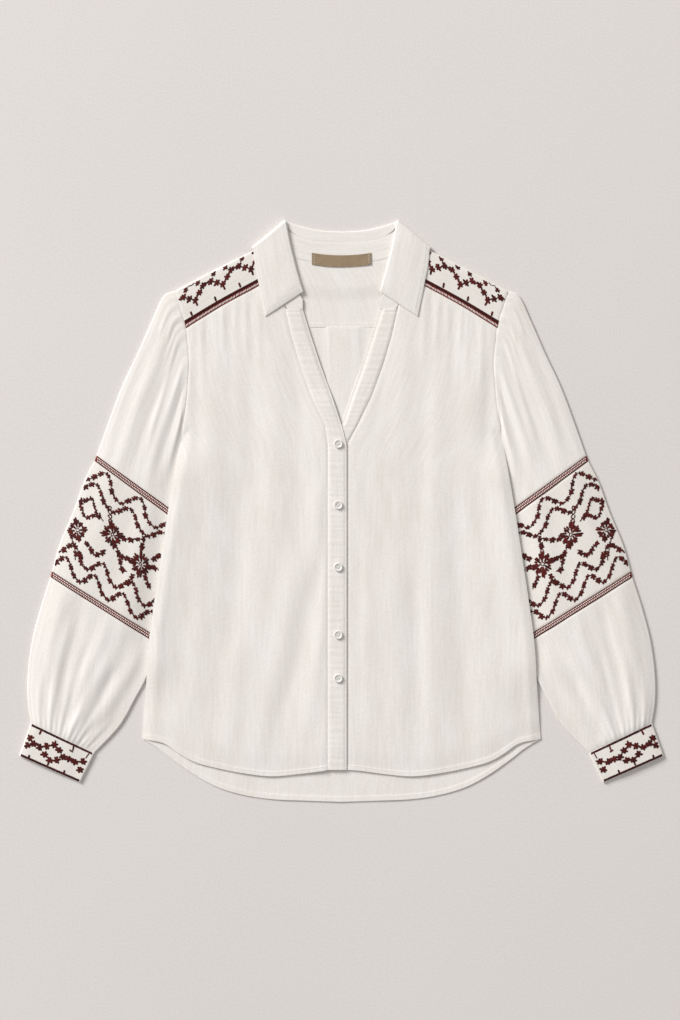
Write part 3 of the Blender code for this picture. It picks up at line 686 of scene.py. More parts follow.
def band_lines(side):
    """Seam and free edge of a front band, in the mirrored x of its side."""
    seam_x = PLACKET_OVERLAP_X if side > 0 else PLACKET_WIDTH - PLACKET_OVERLAP_X
    y = np.array(PLACKET_ROWS_Y)
    up = y - V_FOOT_Y
    made = []
    for first_x, rows, opening in zip((seam_x, seam_x - PLACKET_WIDTH), (V_SEAM, V_EDGE), BAND_OPENINGS[side]):
        x = first_x + opening * ease(up / BAND_TURN) + BAND_SLANT * np.maximum(up, 0)
        made.append(np.vstack([rows, np.stack([x, y], axis=1)]))
    return made


for side, name in SIDES:
    seam, _ = band_lines(side)
    down_shares = spaced(FRONT_LENGTH)
    top = along(TRIM_BOTTOM, spaced(TRIM_LENGTH, 2.0))
    hem = along([(seam[-1][0], FRONT_HEM_Y)] + FRONT_HEM, spaced(TRIM_LENGTH, 2.0))
    inner = resampled(np.vstack([FRONT_NECK, seam]), down_shares)
    outer = side_line(down_shares, [TRIM_BOTTOM[-1]] + ARMHOLE[2:])
    plan = patch(top, hem, inner, outer)
    x, y = plan[..., 0], plan[..., 1]
    from_top, from_hem, from_band, from_side = reach(plan)
    level = front_level(x, y, side) + 0.16 * rumple(x, y, 5 + side, 55) * ease(from_band / 12)
    level += seam_dip(from_top, 0.5) + seam_dip(from_band, 0.55, 2.2) + seam_dip(from_side, 0.4)
    level += hem_drop(from_hem)
    front_middle = lifted(plan, level)
    proud = hem_rise(from_hem)
    front = shell("front_cloth_" + name, "front_" + name, front_middle, cotton, side=side,
                  proud=proud)
    ground = Ground(front_middle, CLOTH / 2 + proud, side)
    hem_stitches = topstitches("front_hem_stitches_" + name, ground, [(from_hem, HEM_STITCH)])

# Front bands
# Each front is finished with a doubled band that runs down from the collar, along the V and past the
# buttons. Both long edges are topstitched. The upper band stands over the lower one.

BAND_LENGTH = 620.0
BAND_PROUD = 0.35
BAND_PUCKER = 0.16
BAND_DROOP = 1.1
UPPER_BAND_DROOP = 0.45
BAND_STITCH = 2.2
BAND_STITCH_DEPTH = 0.28

for side, name in SIDES:
    seam, edge = band_lines(side)
    shares = spaced(BAND_LENGTH, 1.9)
    seam, edge = resampled(seam, shares), resampled(edge, shares)
    across = spaced(PLACKET_WIDTH, 2.0)[:, None, None]
    plan = ((1 - across) * edge + across * seam).swapaxes(0, 1)
    x, y = plan[..., 0], plan[..., 1]
    from_top, from_hem, from_edge, from_seam = reach(plan)
    pucker = np.sin(0.83 * from_top + 2.3 * np.sin(0.13 * from_top))
    pucker = pucker * (0.6 + 0.4 * np.sin(0.31 * from_top + side))
    level = front_level(x, y, side) + 0.05 * rumple(x, y, 9, 26) + hem_drop(from_hem)
    level += BAND_PUCKER * pucker * ease((from_edge - 0.5) / 6) * ease((from_seam + 3) / 7)
    level += seam_dip(from_seam, 0.35, 1.6)
    level -= BAND_DROOP * ease((7 - from_edge) / 7) * ease((y - 96) / 26)
    if side < 0:
        level -= UPPER_BAND_DROOP * ease((5 - from_edge) / 5) * ease((100 - y) / 20)
    proud = BAND_PROUD * ease(from_seam / 1.8)
    for distance in (from_edge, from_seam):
        proud -= BAND_STITCH_DEPTH * bell(distance - BAND_STITCH, 0.55)
    band_middle = lifted(plan, level)
    band = shell("band_cloth_" + name, "band_" + name, band_middle, cotton, side=side, proud=proud)
    ground = Ground(band_middle, CLOTH / 2 + proud, side)
    tracks = [(from_edge, BAND_STITCH), (from_seam, BAND_STITCH)]
    band_stitches = topstitches("band_stitches_" + name, ground, tracks, down=True)

# Shoulder pieces
# A separate embroidered piece lies over each shoulder, from the tape on the front, round the fold, to the
# back yoke's seam. It is cotton worked with dark red thread.

TRIM_TOP = [(81.6, 316.6), (109.0, 301.4), (157.0, 275.4), (204.3, 247.2)]
SHOULDER_FOLD = [(88.8, 350.6), (116.0, 337.6), (166.0, 312.6), (216.0, 286.0)]
SHOULDER_FACE_POINTS = 22
SHOULDER_TURN_POINTS = 7
SHOULDER_LENGTH = 141.0
SHOULDER_TAPE_WIDTH = 10.0
TAPE_PROUD = 0.15
TAPE_SHARES = spaced(21.0, 3.0)
WORKED_LIGHT = (0.865, 0.835, 0.795)
WORKED_DEEP = (0.76, 0.72, 0.665)


def turned_section(start, fold, end, start_level, end_level, flat_points, turn_points):
    """Lines of a sheet folded back on itself: in at start_level, round a half circle at the
    fold, out at end_level."""
    radius = (start_level - end_level) / 2
    into = (start - fold + end - fold) / 2
    into = into / np.linalg.norm(into, axis=1, keepdims=True)
    turn = fold + into * (radius + CLOTH / 2)[:, None]
    share = evenly(flat_points)[None, :, None]
    go = start[:, None] + (turn - start)[:, None] * share
    back_again = turn[:, None] + (end - turn)[:, None] * share
    angle = np.linspace(np.pi / 2, -np.pi / 2, turn_points + 2)[None, 1:-1]
    bend = turn[:, None] - into[:, None] * (radius[:, None] * np.cos(angle))[..., None]
    bend_level = (start_level + end_level)[:, None] / 2 + radius[:, None] * np.sin(angle)
    plan = np.concatenate([go, bend, back_again], axis=1)
    ones = np.ones((len(start), flat_points))
    level = np.concatenate([ones * start_level[:, None], bend_level, ones * end_level[:, None]], axis=1)
    return lifted(plan, level)


def star(s, t, size, width):
    """Three stitches that cross in one point."""
    return [(s, t, turn, size * share, width) for turn, share in ((30, 0.94), (90, 0.86), (150, 1.06))]


def ring(s, t, radius, width=1.3, count=6):
    """Short stitches round a small open ring."""
    turns = np.arange(count) * 360 / count
    places = np.stack([s + radius * np.cos(np.radians(turns)), t + radius * np.sin(np.radians(turns))], axis=1)
    return [(*place, turn + 90, radius * 1.15, width) for place, turn in zip(places, turns)]


def shoulder_chart():
    """A honeycomb of stars that comes again every 41 mm: zigzag below, pairs of stars joined
    by a stem above, and short ticks that stand on the tape."""
    rows = []
    for start in np.arange(-4.2, 150.0, 41.0):
        for s, t in ((0, 16), (7.5, 21.6), (14.8, 27.2), (26, 27.4), (33.4, 21.8)):
            rows += star(start + s, t, 9.8, 3.1)
        rows += [(start - 0.4, 11.2, 84, 6.5, 3.0), (start + 20.5, 27.6, 0, 7.5, 2.6)]
        for s in (-8.6, 8.8):
            rows += star(start + s, 34.0, 7.6, 2.4)
        rows += [(start - 2.6, 36.2, -14, 5.5, 1.1), (start + 2.6, 36.2, 14, 5.5, 1.1)]
    return rows + [(s, 3.6, 88, 6.6, 3.0) for s in np.arange(20.3, 140.0, 36.3)]


worked_cotton = cotton_finish("worked_cotton", WORKED_LIGHT, WORKED_DEEP)
red_thread = thread_finish("dark_red_thread", (0.125, 0.011, 0.008), (0.022, 0.0025, 0.002))
black_thread = thread_finish("near_black_thread", (0.075, 0.008, 0.007), (0.022, 0.003, 0.003))
rail_thread = thread_finish("brick_red_thread", (0.30, 0.045, 0.034), (0.13, 0.016, 0.012))
woven_tape = cotton_finish("woven_tape", (0.25, 0.035, 0.027), (0.10, 0.012, 0.010))
for side, name in SIDES:
    shares = spaced(TRIM_LENGTH, 2.4)
    tables = (TRIM_TOP, SHOULDER_FOLD, BACK_SHOULDER_SEAM)
    front_line, fold_line, back_line = (along(table, shares) for table in tables)
    low = back_level(*((back_line + fold_line) / 2).T)
    section = turned_section(front_line, fold_line, back_line, np.full(len(shares), FRONT_LEVEL), low,
                             SHOULDER_FACE_POINTS, SHOULDER_TURN_POINTS)
    x, y = section[..., 0], section[..., 1]
    from_neck, from_arm, from_tape, _ = reach(section)
    face = np.arange(section.shape[1]) < SHOULDER_FACE_POINTS
    swell = 0.35 * ease(from_tape / 16) * ease((42 - from_tape) / 14)
    section[..., 2] += face * (0.14 * rumple(x, y, 12 + side, 40) + swell)
    section[..., 2] += seam_dip(from_neck, 0.4) + seam_dip(from_arm, 0.4)
    shoulder = shell("shoulder_cloth_" + name, "shoulder_" + name, section,
                     worked_cotton, side=side)
    face_width = from_tape[:, SHOULDER_FACE_POINTS - 1]
    face_shares = evenly(SHOULDER_FACE_POINTS)
    ground = Ground(section[:, :SHOULDER_FACE_POINTS], CLOTH / 2, side, shares, face_shares)

    def spread(s, t):
        return s / SHOULDER_LENGTH, t / np.interp(s / SHOULDER_LENGTH, shares, face_width)

    work = stitched("shoulder_stitches_" + name, shoulder_chart(), ground, spread, red_thread, seed=40 + side)

    # The tape: a dark satin line along its upper edge, then a ladder of cream stitches between two red rails
    top, bottom = along(TRIM_TOP, shares), along(TRIM_BOTTOM, shares)
    plan = top + (bottom - top) * TAPE_SHARES[:, None, None]
    level = np.full(len(TAPE_SHARES), FRONT_LEVEL)
    for distance in (TAPE_SHARES * SHOULDER_TAPE_WIDTH, (1 - TAPE_SHARES) * SHOULDER_TAPE_WIDTH):
        level += seam_dip(distance, 0.3, 0.8)
    tape_middle = lifted(plan, np.broadcast_to(level[:, None], plan.shape[:2]))
    tape = shell("shoulder_tape_" + name, "trim_shoulder_" + name, tape_middle, woven_tape,
                 side=side, proud=TAPE_PROUD)
    ground = Ground(tape_middle, CLOTH / 2 + TAPE_PROUD, side, TAPE_SHARES, shares)

    def spread(s, t):
        return t / SHOULDER_TAPE_WIDTH, s / SHOULDER_LENGTH

    line = [(s, 2.3, 84, 3.9, 1.1) for s in np.arange(0.6, SHOULDER_LENGTH, 0.78)]
    rails = [(s, t, 0, 1.9, 1.25) for t in (5.0, 9.2) for s in np.arange(0.9, SHOULDER_LENGTH, 1.55)]
    rungs = [(s, 7.1, 72, 2.9, 1.05) for s in np.arange(0.8, SHOULDER_LENGTH, 2.1)]
    tape_work = [
        stitched("shoulder_line_" + name, line, ground, spread, black_thread, seed=43, uneven=0.35),
        stitched("shoulder_rails_" + name, rails, ground, spread, rail_thread, 0.35, seed=44, uneven=0.3),
        stitched("shoulder_rungs_" + name, rungs, ground, spread, cream_thread, 0.4, seed=45, uneven=0.5),
    ]

# Collar stand
# The stand is a doubled band sewn round the neck. It lies open at the back, folds over at each shoulder and
# ends in a short tab under each point of the collar. A line of stitches runs along its upper seam.

# Sections: x and y at the neck seam, x and y at the fall, and level
STAND_BACK_ROWS = [(0.0, 323.1, 0.0, 351.3, EDGE_LEVEL), (20.0, 323.2, 18.0, 351.8, EDGE_LEVEL),
                   (38.0, 323.6, 36.0, 353.4, EDGE_LEVEL), (66.0, 330.7, 58.0, 358.4, EDGE_LEVEL),
                   (77.0, 339.4, 68.0, 362.0, EDGE_LEVEL), (85.6, 347.5, 74.9, 363.7, EDGE_LEVEL)]
STAND_TURN_ROW = (86.9, 348.4, 76.2, 364.6, (EDGE_LEVEL + FRONT_LEVEL) / 2)
STAND_FRONT_ROWS = [(85.6, 347.3, 75.1, 363.3, FRONT_LEVEL), (84.2, 336.0, 71.6, 353.0, FRONT_LEVEL),
                    (80.4, 314.0, 66.0, 326.0, FRONT_LEVEL), (75.6, 285.0, 59.4, 300.0, FRONT_LEVEL),
                    (71.0, 263.2, 54.0, 281.0, FRONT_LEVEL), (50.6, 262.2, 50.6, 275.0, FRONT_LEVEL)]
STAND_HEIGHT = 28.0
STAND_STITCH = 2.0
STAND_PROUD = 0.2


def mirrored_rows(half):
    """Both halves of a run of sections from the centre out, as one run from right to left."""
    return np.concatenate([half[::-1] * (-1, 1, 1), half[1:]])


rows = np.vstack([along(STAND_BACK_ROWS, evenly(34)), STAND_TURN_ROW, along(STAND_FRONT_ROWS, evenly(36))])
across = spaced(STAND_HEIGHT, 2.6)[None, :, None]
low = np.stack([rows[:, 0], rows[:, 1], rows[:, 4]], axis=1)[:, None]
high = np.stack([rows[:, 2], rows[:, 3], rows[:, 4]], axis=1)[:, None]
stand_middle = mirrored_rows(low + (high - low) * across)
_, _, from_neck, from_fall = reach(stand_middle)
stand_middle[..., 2] += seam_dip(from_neck, 0.15, 1.2) + seam_dip(from_fall, 0.12, 1.0)
groove = 0.25 * bell(from_fall - STAND_STITCH, 0.5)
proud = STAND_PROUD - groove
stand = shell("collar_stand_cloth", "collar_stand", stand_middle, cotton, proud=proud)
ground = Ground(stand_middle, CLOTH / 2 + proud)
stand_stitches = topstitches("collar_stand_stitches", ground, [(from_fall, STAND_STITCH)], down=True)

# Collar fall
# The fall is a doubled collar leaf. It rises from the stand, rolls over, and lies behind the neck at the
# back; at each shoulder it folds over to the front, where its two long points lie on the fronts. Its edge
# is crisp and topstitched.

LEAF_LEVEL = 5.6
# Sections: x and y of the seam, of the roll and of the free edge
FALL_BACK_ROWS = [(0.0, 351.2, 0.0, 362.8, 0.0, 307.0), (18.0, 351.7, 17.5, 363.4, 20.0, 308.0),
                  (36.0, 353.3, 36.0, 365.6, 42.0, 311.5), (58.0, 358.3, 58.0, 371.2, 74.0, 321.0)]
FALL_FRONT_ROWS = [(71.5, 352.2, 66.9, 350.0, 112.6, 321.0), (65.9, 326.2, 61.3, 326.0, 107.8, 296.0),
                   (59.3, 300.2, 54.6, 301.0, 103.0, 272.0), (54.2, 284.0, 49.8, 284.4, 99.0, 252.7)]
FALL_FOLD_TOP = np.array((73.6, 378.45))
FALL_FOLD_BOTTOM = np.array((116.4, 342.5))
FALL_ROLL_DROP = 1.6
FALL_SEAM_DROP = 3.2
FALL_WALL = 1.1
FALL_STITCH = 4.4
LEAF_SHARES = spaced(56.0, 2.6)
FLAP_POINTS = 5
ROLL_POINTS = 7
LEAF_SWELL = 0.7
LEAF_EDGE_DROP = 0.45


def fall_section(seam, inner_roll, outer_roll, free):
    """Cross-section of the fall: up from its seam, round a half circle at the roll and down
    to the free edge."""
    seam, inner_roll, outer_roll, free = (np.asarray(p, float) for p in (seam, inner_roll, outer_roll, free))
    radius = (outer_roll - inner_roll) / 2
    up = outer_roll - free
    up = up / np.linalg.norm(up) * np.linalg.norm(radius)
    middle = (outer_roll + inner_roll) / 2
    angle = np.linspace(-np.pi / 2, np.pi / 2, ROLL_POINTS + 2)[1:-1, None]
    flap = seam + (inner_roll - seam) * evenly(FLAP_POINTS)[:, None]
    roll = middle + radius * np.sin(angle) + up * np.cos(angle)
    leaf = outer_roll + (free - outer_roll) * LEAF_SHARES[:, None]
    return np.concatenate([flap, roll, leaf])


def fall_turn(degrees):
    """Section of the fall on its way round the fold line at the shoulder."""
    edge = (FALL_FOLD_BOTTOM - FALL_FOLD_TOP) / np.linalg.norm(FALL_FOLD_BOTTOM - FALL_FOLD_TOP)
    inwards = np.array((edge[1], -edge[0]))
    outer_radius = (LEAF_LEVEL - FLOOR) / 2
    inner_radius = (FRONT_LEVEL - EDGE_LEVEL) / 2
    sine, cosine = np.sin(np.radians(degrees)), np.cos(np.radians(degrees))
    outer_in = FALL_WALL / 2 + outer_radius * (1 - cosine)
    inner_in = FALL_WALL / 2 + outer_radius - inner_radius * cosine
    outer_z = FLOOR + outer_radius * (1 + sine)
    inner_z = EDGE_LEVEL + inner_radius * (1 + sine)
    start = FALL_FOLD_TOP + edge * FALL_ROLL_DROP
    inner, outer = start + inwards * inner_in, start + inwards * outer_in
    free = FALL_FOLD_BOTTOM + inwards * outer_in
    return fall_section((*(inner + edge * FALL_SEAM_DROP), inner_z), (*inner, inner_z), (*outer, outer_z),
                        (*free, outer_z))


def smoothly(sections, count):
    """More sections between the given ones, each point on a Catmull-Rom curve through them."""
    sections = np.array(sections)
    flat = along(sections.reshape(len(sections), -1), evenly(count))
    return flat.reshape(count, -1, 3)


back_sections = [fall_section((sx, sy, EDGE_LEVEL), (rx, ry - 1, EDGE_LEVEL), (rx, ry - 1, FLOOR),
                              (fx, fy, FLOOR)) for sx, sy, rx, ry, fx, fy in FALL_BACK_ROWS]
turn_sections = [fall_turn(degrees) for degrees in np.linspace(-90, 90, 15)]
front_sections = [fall_section((sx, sy, FRONT_LEVEL), (rx + 1.2, ry, FRONT_LEVEL), (rx + 1.2, ry, LEAF_LEVEL),
                               (fx, fy, LEAF_LEVEL)) for sx, sy, rx, ry, fx, fy in FALL_FRONT_ROWS]
half = np.concatenate([smoothly(back_sections + turn_sections[:1], 26), np.array(turn_sections[1:-1]),
                       smoothly(turn_sections[-1:] + front_sections, 46)])
fall_middle = mirrored_rows(half)
from_left, from_right, _, from_edge = reach(fall_middle)
from_point = np.minimum(from_left, from_right)
is_leaf = np.arange(fall_middle.shape[1]) >= FLAP_POINTS + ROLL_POINTS
is_leaf = is_leaf * (fall_middle[..., 2] > LEAF_LEVEL - 0.1)
x, y = fall_middle[..., 0], fall_middle[..., 1]
swell = ease((from_edge - 2) / 30) * ease((62 - from_edge) / 16) * ease(from_point / 16)
fall_middle[..., 2] += is_leaf * (LEAF_SWELL * swell + 0.1 * rumple(x, y, 21, 30) * ease(from_edge / 8))
near_edge = np.minimum(from_edge, from_point)
fall_middle[..., 2] -= is_leaf * LEAF_EDGE_DROP * ease((6 - near_edge) / 6)
groove = 0.22 * bell(near_edge - 4.6, 0.6) + 0.25 * bell(near_edge, 0.9)
fall = shell("collar_fall_cloth", "collar_fall", fall_middle, cotton, wall=FALL_WALL, proud=-groove)
ground = Ground(fall_middle, FALL_WALL / 2 - groove)
fall_stitches = topstitches("collar_fall_stitches", ground, [(from_edge, FALL_STITCH)], down=True)

# Sleeves
# Each sleeve is sewn from a plain upper piece, an embroidered band between two tapes, and a plain lower
# piece gathered into the cuff. It lies flat, with its seam side on the table and its front softly raised.

SLEEVE_EDGE_LEVEL = 2.3
SLEEVE_LEVEL = 3.5
SLEEVE_CLEAR = -0.1
GATHER_DEPTH = 0.72
SLEEVE_OUTER = {
    "upper": [(216.0, 286.0), (231.0, 279.0), (245.7, 248.3), (264.0, 206.7), (283.6, 165.1), (299.7, 123.5),
              (318.0, 72.0)],
    "trim_top": [(318.0, 72.0), (320.8, 65.2)],
    "panel": [(320.8, 65.2), (335.0, 37.0), (348.7, -1.3), (366.0, -42.9), (376.0, -78.4)],
    "trim_bottom": [(376.0, -78.4), (378.0, -85.6)],
    "lower": [(378.0, -85.6), (391.0, -126.1), (401.7, -167.7), (407.4, -209.3), (407.8, -245.0),
              (403.4, -275.6)],
    "cuff": [(403.4, -275.6), (418.4, -317.8)],
}
SLEEVE_INNER = {
    "upper": [(207.0, 104.0), (209.0, 78.0), (212.8, 52.0), (216.9, 28.0), (220.0, 1.2)],
    "trim_top": [(220.0, 1.2), (222.0, -7.7)],
    "panel": [(222.0, -7.7), (228.0, -47.0), (244.2, -160.6)],
    "trim_bottom": [(244.2, -160.6), (245.0, -169.2)],
    "lower": [(245.0, -169.2), (248.8, -200.0), (255.0, -220.0), (267.0, -242.0), (288.0, -279.0),
              (321.4, -314.7)],
    "cuff": [(321.4, -314.7), (339.8, -352.3)],
}
# Creases: share across from the outer edge and mm down the span at both ends, height and half width in mm
SLEEVE_CREASES = {
    "upper": [(0.16, 4, 0.28, 226, 0.9, 9), (0.36, 2, 0.42, 200, -0.7, 7), (0.30, 2, 0.50, 150, 0.8, 6),
              (0.52, 10, 0.62, 190, 0.9, 8), (0.66, 6, 0.72, 170, -0.8, 8), (0.80, 20, 0.84, 150, 0.9, 7),
              (0.10, 2, 0.12, 46, 0.8, 3), (0.18, 2, 0.22, 38, 0.7, 3), (0.25, 2, 0.28, 52, 0.6, 3),
              (0.05, 60, 0.20, 215, -0.5, 9)],
    "panel": [(0.30, 0, 0.34, 156, 0.5, 16), (0.56, 0, 0.58, 156, -0.5, 14), (0.78, 0, 0.76, 156, 0.5, 15),
              (0.12, 0, 0.15, 156, -0.35, 10)],
    "lower": [(0.14, 6, 0.20, 120, 1.1, 11), (0.33, 8, 0.35, 128, -0.8, 8), (0.56, 10, 0.52, 132, 1.1, 9),
              (0.80, 4, 0.70, 120, -0.9, 10), (0.27, 40, 0.30, 165, 1.0, 7), (0.66, 50, 0.60, 190, 1.1, 8),
              (0.46, 60, 0.45, 175, -0.9, 6), (0.88, 30, 0.80, 150, 1.0, 8), (0.74, 70, 0.71, 185, -0.9, 6)],
}
# Gathers above the cuff: share across at the cuff and at the far end, length, height and half width in mm
GATHERS_AT_CUFF = [(0.07, 0.08, 52, 1.1, 2.4), (0.145, 0.13, 96, 1.9, 3.0), (0.225, 0.20, 44, 1.4, 2.2),
                   (0.30, 0.26, 132, 2.1, 3.2), (0.375, 0.35, 60, 1.6, 2.3), (0.44, 0.42, 148, 2.2, 3.2),
                   (0.51, 0.52, 40, 1.5, 2.1), (0.575, 0.59, 118, 2.1, 2.9), (0.645, 0.68, 56, 1.6, 2.2),
                   (0.71, 0.76, 104, 2.0, 2.8), (0.785, 0.84, 48, 1.5, 2.2), (0.85, 0.90, 84, 1.6, 2.6),
                   (0.92, 0.96, 40, 1.1, 2.2)]
# Spans from the shoulder down: node, slot, finish, length and the puff at both ends
SLEEVE_SPANS = {
    "upper": ("sleeve_upper_", "cotton", cotton, 216.0, 0.0, 1.6),
    "trim_top": ("trim_sleeve_top_", "red_thread", woven_tape, 8.0, 1.6, 1.7),
    "panel": ("sleeve_panel_", "embroidered_cotton", worked_cotton, 156.0, 1.7, 2.6),
    "trim_bottom": ("trim_sleeve_bottom_", "red_thread", woven_tape, 8.0, 2.6, 2.7),
    "lower": ("sleeve_lower_", "cotton", cotton, 190.0, 2.7, 1.6),
    "cuff": ("cuff_", "embroidered_cotton", worked_cotton, 43.0, 0.0, 0.0),
}
CUFF_WALL = 1.5
CUFF_SINK = 0.45
FRONT_STEP = 2.1
TURN_POINTS = 5
UNDER_POINTS = 18
# One turn of a vine as shares of its period across and of its depth down
VINE_TURN = [(0.0, 0.0), (0.10, 0.08), (0.20, 0.34), (0.30, 0.68), (0.42, 0.89), (0.54, 0.98), (0.63, 1.0),
             (0.76, 0.66), (0.87, 0.25), (0.95, 0.05), (1.0, 0.0)]
# Vines: first peak, period, height of the peaks, depth and number of turns
VINES = [(22.0, 54.0, 4.3, 22.0, 3), (17.0, 54.0, 24.5, 18.0, 3), (19.0, 44.0, 109.0, 18.5, 3),
         (14.0, 43.5, 129.5, 18.5, 4)]
# Stars of the cuff: place across and down in mm
CUFF_STARS = [(5.5, 17.0), (4.8, 27.0), (12.0, 21.7), (21.4, 22.6), (29.6, 17.3), (38.2, 12.2), (46.4, 15.7),
              (54.2, 21.6), (47.8, 28.6), (39.2, 32.2), (30.4, 28.2), (62.6, 20.7), (70.9, 20.8),
              (81.0, 16.0), (80.4, 27.5)]
# Stitches of a rosette's petal: mm aside, where it starts in mm and the share of the radius that it reaches
PETAL_STITCHES = [(-2.4, 6.2, 0.92), (0.0, 3.2, 1.02), (2.5, 7.4, 0.82)]
# Stitches of a vine's cluster: mm along the vine, degrees from its heading and length in mm
CLUSTER = [(-2.2, 52, 5.4), (-0.6, -48, 6.8), (1.0, 58, 7.0), (2.5, -54, 5.2), (0.2, 4, 5.6)]
PANEL_DIAMOND = [(31, 57), (25, 50), (18, 44), (11, 50), (5, 57), (11, 64), (18, 70), (25, 64), (31, 57)]
# Stems of the band: points of each line and the shares at which it carries a leafy cluster
PANEL_STEMS = [([(101, 46), (102.5, 55), (102.5, 66)], (0.6,)),
               ([(74, 66), (84, 61.5), (94, 54), (100, 49)], (0.35,)),
               ([(67, 77), (73, 82), (79, 88), (84, 95), (89, 101.5), (97, 99.5)], (0.35, 0.72)),
               ([(80, 87), (88, 85.5), (95, 83)], (0.5,)), ([(31, 98), (40, 101), (48.5, 106.5)], (0.55,)),
               ([(49.5, 105), (55.5, 100), (59.5, 91)], (0.45,)),
               ([(8, 99), (15.5, 107), (23, 116.5), (27.5, 126)], ()),
               ([(29, 115), (33, 118.5), (36, 124)], (0.4,)),
               ([(105, 100), (104, 110), (100.5, 118)], (0.5,)),
               ([(120, 92), (126, 97.5), (134, 103.5)], (0.5,)), ([(122, 66), (127, 59), (131, 52)], (0.5,)),
               ([(124, 74), (131, 75), (138, 73)], (0.5,)), ([(31, 57), (38, 59), (44, 60)], (0.4,))]


def sleeve_plan(span, rings):
    """Plan of a sleeve span: rows are its rings, columns run from the outer edge to the inner edge."""
    outer = along(SLEEVE_OUTER[span], rings)
    inner = along(SLEEVE_INNER[span], rings)
    even = evenly(81)
    first = outer[0] + (inner[0] - outer[0]) * even[:, None]
    if span == "upper":
        first = along(ARMHOLE, even) + (SLEEVE_CLEAR, 0)
        outer[0], inner[0] = first[0], first[-1]
    last = outer[-1] + (inner[-1] - outer[-1]) * even[:, None]
    return patch(first, last, outer, inner)


def span_creases(places, width, down, rows):
    """The same soft bells as on the body, laid out by share across and length down a sleeve span."""
    height = np.zeros(np.broadcast(places, down).shape)
    for share0, down0, share1, down1, rise, half in rows:
        share = (down - down0) / (down1 - down0)
        off = places - width * (share0 + (share1 - share0) * share)
        fade = ease((share + 0.15) / 0.35) * ease((1.2 - share) / 0.5)
        height += rise * bell(off, half) * fade
    return height


def cuff_gathers(places, width, up):
    """Ridges that start at the cuff, fan out and die away, each at its own length."""
    height = np.zeros(np.broadcast(places, up).shape)
    for share0, share1, length, rise, half in GATHERS_AT_CUFF:
        run = np.clip(up / length, 0, 1)
        off = places - width * (share0 + (share1 - share0) * run)
        ridge = rise * bell(off, half * (1 + 1.3 * run))
        height += GATHER_DEPTH * ridge * (1 - ease(run)) * (0.35 + 0.65 * ease(up / 9))
    return height


def sleeve_ring(span, rings, length, puff_start, puff_end, side):
    """Flattened tube of a span: the front from outer to inner edge, a tight turn, the back on
    the table, a turn. Returns the grid and the number of its front points."""
    plan = sleeve_plan(span, rings)
    widths = np.linalg.norm(plan[:, -1] - plan[:, 0], axis=1)[:, None]
    down = (rings * length)[:, None]
    radius = (SLEEVE_EDGE_LEVEL - FLOOR) / 2
    margin = radius + CLOTH / 2
    front = margin + (widths - 2 * margin) * spaced(float(widths.mean()), FRONT_STEP)
    puff = puff_start + (puff_end - puff_start) * rings[:, None]
    rise = ease((widths - front - 8) / 26) * ease((front + 3) / 14)
    level = SLEEVE_EDGE_LEVEL + (SLEEVE_LEVEL - SLEEVE_EDGE_LEVEL) * rise
    level = level + puff * ease((widths - front - 10) / 40) * ease(front / 30)
    calm = ease(front / 12) * ease((widths - front) / 16)
    if span in SLEEVE_CREASES:
        level = level + calm * span_creases(front, widths, down, SLEEVE_CREASES[span])
        level = level + calm * 0.14 * rumple(front, down, 30 + side, 45)
    if span == "lower":
        level = level + calm * cuff_gathers(front, widths, length - down)
    turn = np.linspace(np.pi / 2, -np.pi / 2, TURN_POINTS + 2)[None, 1:-1]
    inner_turn = widths - margin + radius * np.cos(turn)
    under = widths - margin - (widths - 2 * margin) * evenly(UNDER_POINTS)[None]
    outer_turn = margin - radius * np.cos(turn) + 0 * widths
    turn_level = FLOOR + radius * (1 + np.sin(turn)) + 0 * widths
    places = np.concatenate([front, inner_turn, under, outer_turn], axis=1)
    levels = np.concatenate([level, turn_level, np.full(under.shape, FLOOR), turn_level[:, ::-1]], axis=1)
    cells = places / widths * (plan.shape[1] - 1)
    grid = np.stack([[np.interp(c, np.arange(plan.shape[1]), line[:, k]) for c, line in zip(cells, plan)]
                     for k in (0, 1)] + [levels], axis=-1)
    return grid, front.shape[1]


def vine(rows, thick=(), step=9.8):
    """Leafy clusters of five crossing stitches along a smooth line, joined by thin stitches. The
    clusters differ a little in size, and those near the shares of the line in thick are larger."""
    length = lengths(along(rows, evenly(80)))[-1]
    count = max(int(round(length / step)), 1)
    shares = (np.arange(2 * count) + 0.5) / (2 * count)
    path = along(rows, shares)
    ahead = np.gradient(path, axis=0)
    ahead = ahead / np.linalg.norm(ahead, axis=1, keepdims=True)
    heading = np.degrees(np.arctan2(ahead[:, 1], ahead[:, 0]))
    made = []
    for k, (p, run, turn, share) in enumerate(zip(path, ahead, heading, shares)):
        near = max([0.0] + [1 - abs(share - middle) * length / 13 for middle in thick])
        size = 0.86 + 0.1 * np.sin(2.4 * k) + 0.55 * near
        if k % 2:
            made.append((*p, turn + 6, 4.8, 1.4))
        else:
            made += [(*(p + run * off), turn + lean, long * size, 2.35 + 0.55 * near)
                     for off, lean, long in CLUSTER]
    return made


def rosette(s, t, radius=18.0, turn=20.0):
    """Eight petals round a centre, each of three stitches that spread a little, the longest in the middle."""
    made = ring(s, t, 2.0, 1.4)
    for k in range(8):
        angle = np.radians(turn + 45 * k)
        out, aside = np.array([np.cos(angle), np.sin(angle)]), np.array([-np.sin(angle), np.cos(angle)])
        full = radius if k % 2 else radius * 0.80
        for off, near, far in PETAL_STITCHES:
            middle = np.array([s, t]) + out * (near + full * far) / 2 + aside * off
            made.append((*middle, np.degrees(angle) + 2 * off, full * far - near, 3.0))
    return made


